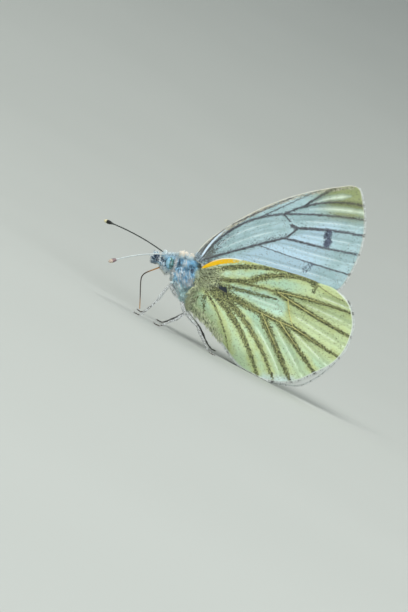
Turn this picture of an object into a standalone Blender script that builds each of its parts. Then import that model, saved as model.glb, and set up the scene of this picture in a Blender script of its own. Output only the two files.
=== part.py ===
"""A green-veined white butterfly, life size, at rest with its wings closed over its back.

Sizes are in millimetres and measured from the hinge of the wings: x runs from the head to the
tail, y runs outward from the plane between the two halves, and z runs up. The origin of the
finished model lies on the floor under the middle of its box.
"""
import math

import bmesh
import bpy
from mathutils import Vector

MM = 0.001

# Where the wing hinge stands in the finished model
HINGE_X = -3.56
HINGE_Y = 0.93
HINGE_HEIGHT = 8.65

GAP = 0.08              # air left between two pieces that touch
WING_THICKNESS = 0.5

# A wing's outline is a loop of arcs: the corner where each begins, and how far its middle stands out.
# The forewing is 23 mm from hinge to tip, with a bowed front edge and a nearly straight outer one.
FORE_ARCS = {
    "root front": (-1.4, 1.2, 0.35),
    "front edge": (0.0, 5.7, 1.25),
    "tip": (12.2, 18.8, 0.4),
    "outer edge": (14.0, 18.0, 1.0),
    "rear corner": (17.2, 8.5, 0.8),
    "rear edge": (15.2, 4.8, 0.1),
    "root": (0.8, 1.0, 0.3),
}
FORE_MIDDLE = (8.5, 9.5)

# The hindwing is fan shaped, with a straight leading edge and a round rear margin
HIND_ARCS = {
    "root": (0.3, -1.2, 0.1),
    "shoulder": (0.1, 0.6, 0.7),
    "leading edge": (4.5, 3.8, 0.3),
    "front corner": (16.5, 6.0, 0.7),
    "outer edge": (20.6, 3.2, 1.3),
    "rear corner": (19.2, -4.8, 0.7),
    "lobe": (14.0, -8.5, 0.5),
    "inner edge": (8.6, -7.8, -0.3),
    "inner root": (1.0, -4.9, 0.3),
}
HIND_MIDDLE = (10.0, -1.5)
RIGHT_SPREAD = 0.8      # how much further back the rear corner of the right hindwing reaches
SPREAD_CORNER = (18.5, -6.0)
SPREAD_WIDTH = 3.2

# How far the middle of each wing lies from the plane between the halves
FORE_REST = 0.36
FORE_ROOT_FLARE = 1.02
FORE_ROOT = (-1.0, 0.6)
FORE_FLARE_RADIUS = 2.0
HIND_REST = FORE_REST + WING_THICKNESS + 0.23       # where they lie over the forewings
HIND_REAR_REST = 0.42   # where they have only each other between them
FORE_LOWER_EDGE = (0.8, 0.265)      # the hidden rear edge of the forewing: height at x 0, and slope
HIND_FALL = 4.0         # height over which the hindwing comes in below that edge
HIND_FLARE = 0.78       # the hindwings bow out round the abdomen
HIND_FLARE_RADIUS = 2.2
REAR_PULL = (0.75, -0.65)       # the way in which the right hindwing's corner is spread

# The line down the middle of the body
ACROSS = Vector((0.0, 1.0, 0.0))
NECK = Vector((-2.98, 0.0, -0.95))
WAIST = Vector((0.95, 0.0, -2.1))
TAIL = Vector((9.7, 0.0, -6.45))
BODY_DROOP = 0.25       # how far the abdomen's middle sags below a straight line
ABDOMEN_WIDTH = 1.06
ABDOMEN_HEIGHT = 1.15
# The abdomen's outline is a stretch of a sine, from its first share to its last, skewed and filled out
ABDOMEN_START = 0.24
ABDOMEN_STRETCH = 0.68
ABDOMEN_SKEW = 1.05
ABDOMEN_FULLNESS = 0.6

# Thorax sections: place from neck to waist, half width, height above and depth below the line
THORAX_SECTIONS = [
    (0.0, 0.72, 1.15, 1.1), (0.08, 1.1, 1.65, 1.75), (0.2, 1.45, 2.3, 2.2),
    (0.36, 1.66, 2.6, 2.4), (0.55, 1.7, 2.4, 2.35), (0.72, 1.55, 2.0, 2.2),
    (0.87, 1.3, 1.55, 1.8), (0.96, 1.05, 1.2, 1.4), (1.0, 0.85, 0.95, 1.1),
]
CREST = 1.7             # above 1, the body narrows to a crest of hair along its back

# Head sections: place from neck to brow, half width, height above and depth below the line
BROW = Vector((-5.0, 0.0, -1.35))
HEAD_SECTIONS = [
    (0.0, 0.46, 0.85, 0.9), (0.1, 0.5, 1.2, 1.3), (0.25, 0.5, 1.5, 1.5), (0.45, 0.5, 1.45, 1.5),
    (0.68, 0.5, 1.2, 1.4), (0.88, 0.46, 0.9, 1.1), (1.0, 0.38, 0.6, 0.8),
]

EYE_CENTRE = (-3.85, -1.0)
EYE_LENGTH = 0.54
EYE_HEIGHT = 0.8
EYE_TILT = math.radians(-22)
EYE_DOME = 0.56
EYE_SEAT = 0.5 + GAP    # the flat inner side of the eye lies against the side of the head
EYE_TOP = 0.47 * math.pi        # the angle at which the dome ends in a small flat

# Each feeler bows from its seat to its tip: seat, tip, and how far its middle stands off a straight line
FEELER = {
    "left": ((-4.85, 0.36, -0.3), (-10.6, 6.95, -4.2), (0.0, -0.2, 0.45)),
    "right": ((-4.8, 0.36, -0.25), (-14.2, 5.05, -0.35), (0.0, 0.0, 0.35)),
}
FEELER_POINTS = 8
FEELER_RADIUS = 0.25
CLUB_SWELL = 0.11       # how much thicker the club is,
CLUB_PLACE = 0.92       # where along the feeler,
CLUB_WIDTH = 0.09       # and how long a stretch it takes up

# The tongue runs forward and down from the mouth, then turns back at a knee
TONGUE_START = (-5.0, -2.4)
TONGUE_LENGTH = 6.5
TONGUE_RADIUS = 0.25
TONGUE_HEADING = math.radians(228)      # its direction at the mouth
TONGUE_TURN = math.radians(68)          # how far it turns at the knee
TONGUE_KNEE = 2.1                       # how far along it the knee is
TONGUE_KNEE_WIDTH = 1.1
TONGUE_POINTS = 10

# Paths of the mouthparts and legs, as (x, outward, z, radius)
PALP = {
    "left": [(-5.14, 0.31, -1.5, 0.27), (-5.5, 0.33, -1.42, 0.27), (-5.9, 0.36, -1.2, 0.2)],
    "right": [(-5.14, 0.31, -1.55, 0.27), (-5.45, 0.33, -1.6, 0.27), (-5.8, 0.36, -1.5, 0.2)],
}
SOLE = 0.22 - HINGE_HEIGHT      # height of the middle of a foot that stands on the floor
LEG = {
    "front": [(-1.2, 0.6, -4.03, 0.28), (-0.85, 0.95, -4.35, 0.28), (-1.6, 1.45, -4.05, 0.29),
              (-2.5, 2.0, -3.6, 0.28), (-2.8, 2.4, -4.6, 0.27), (-3.0, 2.6, -5.8, 0.26),
              (-3.35, 2.95, -7.0, 0.25), (-3.85, 3.3, -8.1, 0.25), (-4.25, 3.5, SOLE, 0.27),
              (-4.75, 3.7, SOLE, 0.27)],
    "mid": [(-0.2, 0.6, -3.8, 0.29), (-0.12, 0.8, -4.5, 0.3), (0.3, 1.5, -5.2, 0.3),
            (0.85, 2.35, -5.8, 0.28), (0.5, 2.9, -6.5, 0.27), (0.1, 3.3, -7.1, 0.26),
            (-0.5, 3.7, -7.75, 0.25), (-1.05, 4.0, -8.3, 0.25), (-1.4, 4.15, SOLE, 0.27),
            (-1.9, 4.35, SOLE, 0.27)],
    "hind": [(0.5, 0.36, -3.6, 0.26), (0.42, 0.38, -4.6, 0.27), (0.6, 0.5, -5.25, 0.28),
             (1.2, 0.95, -5.75, 0.29), (2.1, 1.55, -6.15, 0.28), (3.0, 2.15, -6.45, 0.27),
             (3.9, 2.75, -7.1, 0.26), (4.8, 3.3, -7.75, 0.26), (5.5, 3.7, -8.2, 0.25),
             (6.1, 3.95, SOLE, 0.27), (6.6, 4.1, SOLE, 0.27)],
}

SIDES = {"left": -1, "right": 1}

# Points round each kind of piece
THORAX_POINTS = 22
HEAD_POINTS = 18
ABDOMEN_POINTS = 18
EYE_POINTS = 18
LIMB_POINTS = 8

ABDOMEN_RINGS = 13
EYE_RINGS = 6
WING_RINGS = 4
ARC_STEP = 2.0          # length of an outline's stretches,
RIM_STEPS = 3           # and points of a wing's rim to each stretch
LIMB_STEPS = 2          # rings of a limb to each stretch of its path
SHARP_EDGE = math.radians(50)

# Colour and roughness of each finish
FINISHES = {
    "body_hair": ((0.46, 0.5, 0.52), 0.9),
    "hindwing_scales": ((0.78, 0.8, 0.62), 0.8),
    "forewing_scales": ((0.8, 0.84, 0.84), 0.8),
    "eye": ((0.3, 0.5, 0.42), 0.3),
    "antenna_scales": ((0.35, 0.3, 0.29), 0.6),
    "proboscis": ((0.42, 0.24, 0.12), 0.45),
    "leg_scales": ((0.6, 0.58, 0.55), 0.8),
}


def clear_scene():
    """Remove every object that the scene starts with."""
    for item in list(bpy.data.objects):
        bpy.data.objects.remove(item)


def finish(name):
    """A plain material with the colour and roughness of its finish."""
    colour, roughness = FINISHES[name]
    material = bpy.data.materials.new(name)
    material.use_nodes = True
    shader = material.node_tree.nodes["Principled BSDF"]
    shader.inputs["Base Color"].default_value = (*colour, 1.0)
    shader.inputs["Roughness"].default_value = roughness
    material.diffuse_color = (*colour, 1.0)
    return material


def stand(x, y, z):
    """A place measured from the hinge, as a place in the finished model."""
    return Vector((x + HINGE_X, y + HINGE_Y, z + HINGE_HEIGHT)) * MM


def add_piece(name, mesh, material, smooth=True):
    """Put one closed mesh into the scene, with its origin at its middle and its faces outward."""
    bmesh.ops.recalc_face_normals(mesh, faces=mesh.faces)
    middle = sum((v.co for v in mesh.verts), Vector()) / len(mesh.verts)
    bmesh.ops.translate(mesh, verts=mesh.verts, vec=-middle)
    data = bpy.data.meshes.new(name)
    mesh.to_mesh(data)
    mesh.free()
    data.materials.append(material)
    if smooth:
        data.shade_smooth()
        data.set_sharp_from_angle(angle=SHARP_EDGE)
    piece = bpy.data.objects.new(name, data)
    piece.location = middle
    bpy.context.collection.objects.link(piece)
    return piece


def through(points, steps, closed=False):
    """A smooth curve through the given points, with some steps to each stretch."""
    points = [Vector(p) for p in points]
    count = len(points)
    curve = []
    for i in range(count if closed else count - 1):
        if closed:
            a, b, c, d = (points[(i + k) % count] for k in (-1, 0, 1, 2))
        else:
            b, c = points[i], points[i + 1]
            a = points[i - 1] if i > 0 else 2 * b - c
            d = points[i + 2] if i + 2 < count else 2 * c - b
        for step in range(steps):
            t = step / steps
            curve.append(0.5 * (2 * b + (c - a) * t + (2 * a - 5 * b + 4 * c - d) * t ** 2
                                + (3 * b - a - 3 * c + d) * t ** 3))
    if not closed:
        curve.append(points[-1])
    return curve


def bowed(start, end, bow, steps):
    """Points from start up to end, on an arc whose middle stands off the straight line by bow."""
    start, end, bow = Vector(start), Vector(end), Vector(bow)
    shares = [step / steps for step in range(steps)]
    return [start.lerp(end, share) + bow * (4 * share * (1 - share)) for share in shares]


def outline(arcs):
    """The points of a wing's outline, which runs clockwise through its arcs."""
    arcs = list(arcs.values())
    points = []
    for (x, z, bow), (next_x, next_z, _) in zip(arcs, arcs[1:] + arcs[:1]):
        span = Vector((next_x - x, next_z - z))
        out = Vector((-span.y, span.x)).normalized() * bow
        points += bowed((x, z), (next_x, next_z), out, max(2, round(span.length / ARC_STEP)))
    return points


def feeler(seat, tip, bow):
    """The path of a feeler, which swells to a club near its tip."""
    path = []
    for number, place in enumerate(bowed(seat, tip, bow, FEELER_POINTS) + [Vector(tip)]):
        off = (number / FEELER_POINTS - CLUB_PLACE) / CLUB_WIDTH
        path.append((*place, FEELER_RADIUS + CLUB_SWELL * math.exp(-off ** 2)))
    return path


def tongue():
    """The path of the tongue, stepped out along its heading."""
    step = TONGUE_LENGTH / TONGUE_POINTS
    x, z = TONGUE_START
    path = [(x, 0.0, z, TONGUE_RADIUS)]
    for number in range(TONGUE_POINTS):
        past_knee = (number * step - TONGUE_KNEE) / TONGUE_KNEE_WIDTH
        heading = TONGUE_HEADING + TONGUE_TURN * (0.5 + 0.5 * math.tanh(2 * past_knee))
        x += step * math.cos(heading)
        z += step * math.sin(heading)
        path.append((x, 0.0, z, TONGUE_RADIUS))
    return path


def loft(rings):
    """A closed mesh over rings of points that all have the same count, with flat ends."""
    mesh = bmesh.new()
    loops = [[mesh.verts.new(p) for p in ring] for ring in rings]
    count = len(rings[0])
    for a, b in zip(loops, loops[1:]):
        for i in range(count):
            mesh.faces.new((a[i], a[(i + 1) % count], b[(i + 1) % count], b[i]))
    mesh.faces.new(loops[0])
    mesh.faces.new(loops[-1])
    return mesh


def oval(centre, across, up, up_size, down_size, across_size, count, crest=1.0):
    """A ring of points: an oval that may reach further up than down, and narrow to a crest."""
    ring = []
    for i in range(count):
        turn = 2 * math.pi * (i + 0.5) / count
        lift = math.sin(turn)
        rise = lift * (up_size if lift > 0 else down_size)
        spread = math.copysign(abs(math.cos(turn)) ** (crest if lift > 0 else 1.0), math.cos(turn))
        ring.append(stand(*(centre + across * (across_size * spread) + up * rise)))
    return ring


def upright(start, end):
    """The direction in the side view that points up, square to a line along the body."""
    up = (end - start).normalized().cross(ACROSS)
    return up if up.z > 0 else -up


def trunk(name, start, end, up, sections, crest, material, count):
    """A body length with an oval section at each stated place along it.

    Its first section faces its neighbour, square to the given direction, and the later ones
    turn until they are square to its own length.
    """
    own = upright(start, end)
    rings = [oval(start.lerp(end, place), ACROSS, up.lerp(own, min(2 * place, 1.0)).normalized(),
                  above, below, half, count, crest)
             for place, half, above, below in sections]
    return add_piece(name, loft(rings), material)


def limb(name, path, side, material):
    """A tube of changing thickness along a path. What would pass below the floor is pared flat."""
    curve = through(path, LIMB_STEPS)
    centres = [Vector((point[0], point[1] * side, point[2])) for point in curve]
    radii = [point[3] for point in curve]
    last = len(centres) - 1
    across = Vector((0.0, 0.0, 1.0)).cross(centres[last] - centres[last - 1]).normalized()
    rings = []
    for i in range(last, -1, -1):
        along = (centres[min(i + 1, last)] - centres[max(i - 1, 0)]).normalized()
        across = (across - along * across.dot(along)).normalized()
        up = along.cross(across)
        ring = oval(centres[i], across, up, radii[i], radii[i], radii[i], LIMB_POINTS)
        for point in ring:
            point.z = max(point.z, 0.0)
        rings.append(ring)
    return add_piece(name, loft(rings), material)


def distance_to_abdomen(x, z):
    """How far a place in the side view is from the line down the middle of the abdomen."""
    place = Vector((x, 0.0, z))
    span = TAIL - WAIST
    share = (place - WAIST).dot(span) / span.length_squared
    return (place - WAIST.lerp(TAIL, min(max(share, 0.0), 1.0))).length


def fore_offset(x, z):
    """Distance of the forewing's middle from the plane between the halves."""
    reach = math.hypot(x - FORE_ROOT[0], z - FORE_ROOT[1]) / FORE_FLARE_RADIUS
    return FORE_REST + FORE_ROOT_FLARE * math.exp(-reach ** 2)


def hind_offset(x, z):
    """Distance of the hindwing's middle from the plane between the halves."""
    base, slope = FORE_LOWER_EDGE
    drop = min(max((base + slope * x - z) / HIND_FALL, 0.0), 1.0)
    rest = HIND_REST + (HIND_REAR_REST - HIND_REST) * drop * drop * (3 - 2 * drop)
    near = math.exp(-(distance_to_abdomen(x, z) / HIND_FLARE_RADIUS) ** 2)
    bow = (HIND_FLARE + HIND_REST - rest) * near
    return rest + max(bow, fore_offset(x, z) - FORE_REST)


def wing(name, points, middle, offset, side, material):
    """A thin plate with the wing's outline, bent to lie at the given distance from the plane."""
    rim = through(points, RIM_STEPS, closed=True)
    hub = Vector(middle)
    mesh = bmesh.new()
    outer_rings = []
    for half in (-0.5, 0.5):
        skin = []
        for ring in range(WING_RINGS + 1):
            share = ring / WING_RINGS
            row = [hub.lerp(p, share) for p in (rim if ring else rim[:1])]
            skin.append([mesh.verts.new(stand(
                p.x, side * (offset(p.x, p.y) + half * WING_THICKNESS), max(p.y, -HINGE_HEIGHT)))
                for p in row])
        outer_rings.append(skin[-1])
        count = len(rim)
        for i in range(count):
            j = (i + 1) % count
            mesh.faces.new((skin[0][0], skin[1][i], skin[1][j]))
            for inner, outer in zip(skin[1:], skin[2:]):
                mesh.faces.new((inner[i], outer[i], outer[j], inner[j]))
    near, far = outer_rings
    for i in range(len(near)):
        j = (i + 1) % len(near)
        mesh.faces.new((near[i], near[j], far[j], far[i]))
    return add_piece(name, mesh, material)


def hind_outline(side):
    """The outline of a hindwing. The right one is spread a little further at its rear corner."""
    points = []
    for x, z in outline(HIND_ARCS):
        away = math.hypot(x - SPREAD_CORNER[0], z - SPREAD_CORNER[1]) / SPREAD_WIDTH
        spread = RIGHT_SPREAD * math.exp(-away ** 2) if side > 0 else 0.0
        points.append((x + REAR_PULL[0] * spread, z + REAR_PULL[1] * spread))
    return points


def eye(name, side, material):
    """A dome with a flat inner side."""
    rings = []
    lean = Vector((math.cos(EYE_TILT), 0.0, -math.sin(EYE_TILT)))
    rise = Vector((math.sin(EYE_TILT), 0.0, math.cos(EYE_TILT)))
    for layer in range(EYE_RINGS + 1):
        turn = EYE_TOP * layer / EYE_RINGS
        centre = Vector((EYE_CENTRE[0], side * (EYE_SEAT + EYE_DOME * math.sin(turn)), EYE_CENTRE[1]))
        size = math.cos(turn)
        rings.append(oval(centre, lean, rise, EYE_HEIGHT * size, EYE_HEIGHT * size,
                          EYE_LENGTH * size, EYE_POINTS))
    return add_piece(name, loft(rings), material)


def abdomen(material):
    """A tapering body that sags a little, with shallow rings."""
    start = WAIST + (WAIST - NECK).normalized() * GAP
    sag = upright(start, TAIL) * BODY_DROOP
    rings = []
    for layer in range(ABDOMEN_RINGS + 1):
        share = layer / ABDOMEN_RINGS
        place = (ABDOMEN_START + ABDOMEN_STRETCH * share) ** ABDOMEN_SKEW
        full = math.sin(math.pi * place) ** ABDOMEN_FULLNESS
        up = upright(NECK, WAIST).lerp(upright(start, TAIL), min(3 * share, 1.0)).normalized()
        centre = start.lerp(TAIL, share) - sag * math.sin(math.pi * share)
        rings.append(oval(centre, ACROSS, up, ABDOMEN_HEIGHT * full, ABDOMEN_HEIGHT * full,
                          ABDOMEN_WIDTH * full, ABDOMEN_POINTS))
    return add_piece("abdomen", loft(rings), material)


def build():
    """Make every part of the butterfly."""
    clear_scene()
    materials = {name: finish(name) for name in FINISHES}
    fuzz = materials["body_hair"]
    body_up = upright(NECK, WAIST)
    trunk("thorax", NECK, WAIST, body_up, THORAX_SECTIONS, CREST, fuzz, THORAX_POINTS)
    nape = NECK - (WAIST - NECK).normalized() * GAP
    trunk("head", nape, BROW, body_up, HEAD_SECTIONS, 1.0, fuzz, HEAD_POINTS)
    abdomen(fuzz)
    limb("proboscis", tongue(), 1, materials["proboscis"])
    for label, side in SIDES.items():
        wing("forewing_" + label, outline(FORE_ARCS), FORE_MIDDLE, fore_offset, side,
             materials["forewing_scales"])
        wing("hindwing_" + label, hind_outline(side), HIND_MIDDLE, hind_offset, side,
             materials["hindwing_scales"])
        eye("eye_" + label, side, materials["eye"])
        limb("antenna_" + label, feeler(*FEELER[label]), side, materials["antenna_scales"])
        limb("palp_" + label, PALP[label], side, fuzz)
        for place, path in LEG.items():
            limb("leg_" + place + "_" + label, path, side, materials["leg_scales"])


build()
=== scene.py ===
"""The looks of a green-veined white butterfly that stands with its wings closed over its back.

Lengths are millimetres measured from the hinge of the wings unless a comment says otherwise:
x runs from the head to the tail, y outward from the plane between the two halves, z up.
"""
import math
from collections import namedtuple

import bmesh
import bpy
import numpy as np
from mathutils import Matrix, Vector
from mathutils.geometry import delaunay_2d_cdt


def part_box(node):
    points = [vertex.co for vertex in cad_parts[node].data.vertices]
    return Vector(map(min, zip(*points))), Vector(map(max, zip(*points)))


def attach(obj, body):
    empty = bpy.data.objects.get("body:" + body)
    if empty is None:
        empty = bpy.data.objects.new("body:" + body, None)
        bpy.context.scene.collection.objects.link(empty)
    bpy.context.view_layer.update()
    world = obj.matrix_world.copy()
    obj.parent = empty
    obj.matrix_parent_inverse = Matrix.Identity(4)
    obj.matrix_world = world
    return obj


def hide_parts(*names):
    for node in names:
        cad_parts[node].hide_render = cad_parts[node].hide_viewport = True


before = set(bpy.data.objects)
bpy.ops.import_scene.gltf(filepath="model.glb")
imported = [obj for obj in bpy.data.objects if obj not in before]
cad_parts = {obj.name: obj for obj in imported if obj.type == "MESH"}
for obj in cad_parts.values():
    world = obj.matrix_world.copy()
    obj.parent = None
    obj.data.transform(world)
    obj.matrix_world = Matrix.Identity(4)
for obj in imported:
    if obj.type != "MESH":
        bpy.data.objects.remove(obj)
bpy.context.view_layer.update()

MM = 0.001
SIDES = {"left": -1, "right": 1}
BODY = "root"


def middle(node):
    """The middle of a solid's box."""
    low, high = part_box(node)
    return (Vector(low) + Vector(high)) / 2


EYE_AHEAD = 3.85        # the eyes lie this far in front of the hinge
HINGE_HEIGHT = 8.65     # and the hinge this far above the floor
HINGE = Vector((middle("eye_left").x + EYE_AHEAD * MM,
                (middle("forewing_left").y + middle("forewing_right").y) / 2,
                HINGE_HEIGHT * MM))


# ---------------------------------------------------------------------------- curves and meshes

def through(points, steps, closed=False):
    """A smooth curve through the given points, with some steps to each stretch."""
    points = np.array(points, float)
    count = len(points)
    spans = count if closed else count - 1
    t = (np.arange(steps) / steps)[:, None]
    curve = []
    for i in range(spans):
        b, c = points[i], points[(i + 1) % count]
        a = points[i - 1] if closed or i > 0 else 2 * b - c
        d = points[(i + 2) % count] if closed or i + 2 < count else 2 * c - b
        curve.append(0.5 * (2 * b + (c - a) * t + (2 * a - 5 * b + 4 * c - d) * t ** 2
                            + (3 * b - a - 3 * c + d) * t ** 3))
    if not closed:
        curve.append(points[-1:])
    return np.concatenate(curve)


def bowed(start, end, bow, steps):
    """Points from start to end, on an arc whose middle stands off the straight line by bow."""
    start, end, bow = (np.array(part, float) for part in (start, end, bow))
    share = np.linspace(0, 1, steps + 1)[:, None]
    return start + (end - start) * share + bow * (4 * share * (1 - share))


def even_steps(curve, step, closed=False):
    """The same curve with its points a fixed distance apart."""
    if closed:
        curve = np.vstack([curve, curve[:1]])
    run = np.concatenate([[0], np.cumsum(np.linalg.norm(np.diff(curve[:, :3], axis=0), axis=1))])
    count = max(int(round(run[-1] / step)), 2)
    at = np.linspace(0, run[-1], count + 1)
    if closed:
        at = at[:-1]
    return np.stack([np.interp(at, run, curve[:, k]) for k in range(curve.shape[1])], axis=1)


def nearest(places, line):
    """Each place's distance to a line of points, and how far along the line its nearest spot is."""
    a, b = line[:-1], line[1:]
    span = b - a
    rel = places[:, None, :] - a[None]
    share = np.clip((rel * span).sum(2) / np.maximum((span ** 2).sum(1), 1e-12), 0, 1)
    gap = np.linalg.norm(rel - share[..., None] * span, axis=2)
    best = gap.argmin(1)
    rows = np.arange(len(places))
    return gap[rows, best], (best + share[rows, best]) / len(a)


def unit(vectors):
    return vectors / np.maximum(np.linalg.norm(vectors, axis=1, keepdims=True), 1e-9)


def smooth(value, low, high):
    """0 below low, 1 above high, and a soft step between them."""
    t = np.clip((value - low) / (high - low), 0, 1)
    return t * t * (3 - 2 * t)


def stand(places):
    """Places in millimetres from the hinge, as places in the model."""
    return np.array(HINGE)[None] + np.asarray(places, float) * MM


def add_object(name, data):
    """A new object in the scene."""
    piece = bpy.data.objects.new(name, data)
    bpy.context.collection.objects.link(piece)
    return piece


def new_piece(name, verts, edges=(), faces=(), materials=()):
    """An object from places in millimetres from the hinge."""
    data = bpy.data.meshes.new(name)
    data.from_pydata(stand(verts).tolist(), edges, faces)
    for material in materials:
        data.materials.append(material)
    if len(faces):
        data.shade_smooth()
    return add_object(name, data)


def plain_mesh(piece):
    """The mesh that a piece's modifiers make of it."""
    graph = bpy.context.evaluated_depsgraph_get()
    return bpy.data.meshes.new_from_object(piece.evaluated_get(graph), preserve_all_data_layers=True,
                                           depsgraph=graph)


def drop(piece):
    """Remove a source object that isn't part of the butterfly."""
    data = piece.data
    bpy.data.objects.remove(piece)
    bpy.data.meshes.remove(data)


def face_outward(piece):
    """Turn every face of a closed piece outward."""
    mesh = bmesh.new()
    mesh.from_mesh(piece.data)
    bmesh.ops.recalc_face_normals(mesh, faces=mesh.faces)
    mesh.to_mesh(piece.data)
    mesh.free()


def put_values(piece, **fields):
    """Store numbers for a material to read, one for each point of a piece or one for all."""
    for name, values in fields.items():
        values = np.broadcast_to(values, len(piece.data.vertices))
        store = piece.data.attributes.get(name) or piece.data.attributes.new(name, "FLOAT", "POINT")
        store.data.foreach_set("value", np.ascontiguousarray(values, dtype=np.float32))


def put_vectors(piece, **fields):
    """Store a vector for each point of a piece."""
    for name, values in fields.items():
        store = piece.data.attributes.new(name, "FLOAT_VECTOR", "POINT")
        store.data.foreach_set("vector", np.ascontiguousarray(values, dtype=np.float32).ravel())


def read_all(items, field, kind=np.int32, width=1):
    """One field of every item of a mesh, as a row of numbers."""
    values = np.empty(len(items) * width, dtype=kind)
    items.foreach_get(field, values)
    return values


def places_of(piece):
    """Each point's place in millimetres from the hinge, and its normal."""
    at, facing = (read_all(piece.data.vertices, field, np.float32, 3).reshape(-1, 3)
                  for field in ("co", "normal"))
    return (at - np.array(HINGE)) / MM, facing.astype(float)


def add_map(piece, name, flat):
    """A flat map of a piece, with a place for each corner of each face."""
    layer = piece.data.uv_layers.new(name=name)
    layer.data.foreach_set("uv", flat.astype(np.float32).ravel())


def direction(angle):
    """A step of length 1 in the side view."""
    return np.array([math.cos(angle), math.sin(angle)])


def toward(weight, ahead, outward, up):
    """A heading at each place, as strong as its weight."""
    return np.stack(np.broadcast_arrays(weight * ahead, weight * outward, weight * up), 1)


def settle(piece, slot, *nodes):
    """Give a finished piece its body and hide the solids that it stands for. The slot is not used."""
    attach(piece, BODY)
    if nodes:
        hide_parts(*nodes)
    return piece


# ---------------------------------------------------------------------------- node trees

class Value:
    """A socket that takes part in ordinary sums."""

    def __init__(self, tree, socket):
        self.tree = tree
        self.socket = socket

    def sum_with(self, operation, *others, **settings):
        return self.tree.node("ShaderNodeMath", dict(operation=operation, **settings),
                              dict(enumerate((self, *others))))

    def __add__(self, other):
        return self.sum_with("ADD", other)

    def __sub__(self, other):
        return self.sum_with("SUBTRACT", other)

    def __rsub__(self, other):
        return self.tree.node("ShaderNodeMath", {"operation": "SUBTRACT"}, {0: other, 1: self})

    def __mul__(self, other):
        return self.sum_with("MULTIPLY", other)

    __radd__ = __add__
    __rmul__ = __mul__

    def around(self, amount):
        """Variation from 0 to 1, turned into variation about 0."""
        return (self - 0.5) * amount

    def beside(self, middle, low, high):
        """1 where the value is near the middle, with a soft step to 0 from low to high away from it."""
        return 1 - (self - middle).sum_with("ABSOLUTE").step(low, high)

    def clamped(self):
        return self.sum_with("ADD", 0.0, use_clamp=True)

    def step(self, low, high):
        """A soft step from 0 at low to 1 at high."""
        return self.tree.node("ShaderNodeMapRange", {"interpolation_type": "SMOOTHSTEP"},
                              {0: self, 1: low, 2: high})


class Tree:
    """A node tree that is written as function calls."""

    def __init__(self, tree):
        self.tree = tree

    def node(self, kind, settings=None, sockets=None, out=0):
        """Add a node: its settings first, then the values or links of its sockets."""
        made = self.tree.nodes.new(kind)
        for key, value in (settings or {}).items():
            if key == "stops":
                for stop in list(made.color_ramp.elements)[1:]:
                    made.color_ramp.elements.remove(stop)
                for i, (place, colour) in enumerate(value):
                    stop = made.color_ramp.elements[0] if i == 0 else made.color_ramp.elements.new(place)
                    stop.position = place
                    stop.color = (*colour, 1.0)
            else:
                setattr(made, key, value)
        for key, value in (sockets or {}).items():
            if isinstance(value, Value):
                self.tree.links.new(value.socket, made.inputs[key])
            else:
                made.inputs[key].default_value = value
        return Value(self, made.outputs[out])

    def also(self, value, out):
        """Another output of the node that a value comes from."""
        return Value(self, value.socket.node.outputs[out])

    def vector(self, operation, *sockets, out=0):
        """Vector arithmetic."""
        return self.node("ShaderNodeVectorMath", {"operation": operation}, dict(enumerate(sockets)), out)


class Finish(Tree):
    """A material: one Principled shader with what varies linked in."""

    def __init__(self, name, **constants):
        self.material = bpy.data.materials.new(name)
        self.material.use_nodes = True
        super().__init__(self.material.node_tree)
        self.shader = self.tree.nodes["Principled BSDF"]
        for key, value in constants.items():
            self.shader.inputs[key.replace("_", " ")].default_value = value
        self.place = self.node("ShaderNodeTexCoord", out="Object")

    def field(self, name):
        """A number stored on the piece."""
        return self.node("ShaderNodeAttribute", {"attribute_name": name}, out="Fac")

    def noise(self, grain, detail=2.0, stretch=(1, 1, 1), roughness=0.5):
        """Cloudy variation from about 0 to 1, whose lumps are about grain millimetres."""
        at = self.vector("MULTIPLY", self.place, stretch)
        return self.node("ShaderNodeTexNoise", {}, {"Vector": at, "Scale": 1 / (grain * MM),
                                                    "Detail": detail, "Roughness": roughness})

    def cells(self, grain, stretch=(1, 1, 1), out="Distance"):
        """Rounded cells about grain millimetres across."""
        at = self.vector("MULTIPLY", self.place, stretch)
        return self.node("ShaderNodeTexVoronoi", {}, {"Vector": at, "Scale": 1 / (grain * MM)}, out)

    def mix(self, factor, first, second):
        """From the first colour at 0 to the second at 1."""
        pair = [(*c, 1.0) if isinstance(c, tuple) else c for c in (first, second)]
        return self.node("ShaderNodeMix", {"data_type": "RGBA"}, {0: factor, 6: pair[0], 7: pair[1]}, out=2)

    def link(self, **sockets):
        for key, value in sockets.items():
            self.tree.links.new(value.socket, self.shader.inputs[key.replace("_", " ")])
        return self

    def bump(self, height, depth, strength=1.0):
        """Raise the surface by up to depth millimetres where height is 1."""
        normal = self.node("ShaderNodeBump", {}, {"Strength": strength, "Distance": depth * MM,
                                                  "Height": height})
        return self.link(Normal=normal)


# ---------------------------------------------------------------------------- wing shapes

# A wing's outline is a loop of arcs, as in the solids: the corner where each begins, and its bow
FORE_ARCS = {
    "root front": (-1.4, 1.2, 0.35),
    "front edge": (0.0, 5.7, 1.25),
    "tip": (12.2, 18.8, 0.4),
    "outer edge": (14.0, 18.0, 1.0),
    "rear corner": (17.2, 8.5, 0.8),
    "rear edge": (15.2, 4.8, 0.1),
    "root": (0.8, 1.0, 0.3),
}
HIND_ARCS = {
    "root": (0.3, -1.2, 0.1),
    "shoulder": (0.1, 0.6, 0.7),
    "leading edge": (4.5, 3.8, 0.3),
    "front corner": (16.5, 6.0, 0.7),
    "outer edge": (20.6, 3.2, 1.3),
    "rear corner": (19.2, -4.8, 0.7),
    "lobe": (14.0, -8.5, 0.5),
    "inner edge": (8.6, -7.8, -0.3),
    "inner root": (1.0, -4.9, 0.3),
}
ARC_STEP = 2.0
RIGHT_SPREAD = 0.8
SPREAD_CORNER = (18.5, -6.0)
SPREAD_WIDTH = 3.2
SPREAD_WAY = (0.75, -0.65)

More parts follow.
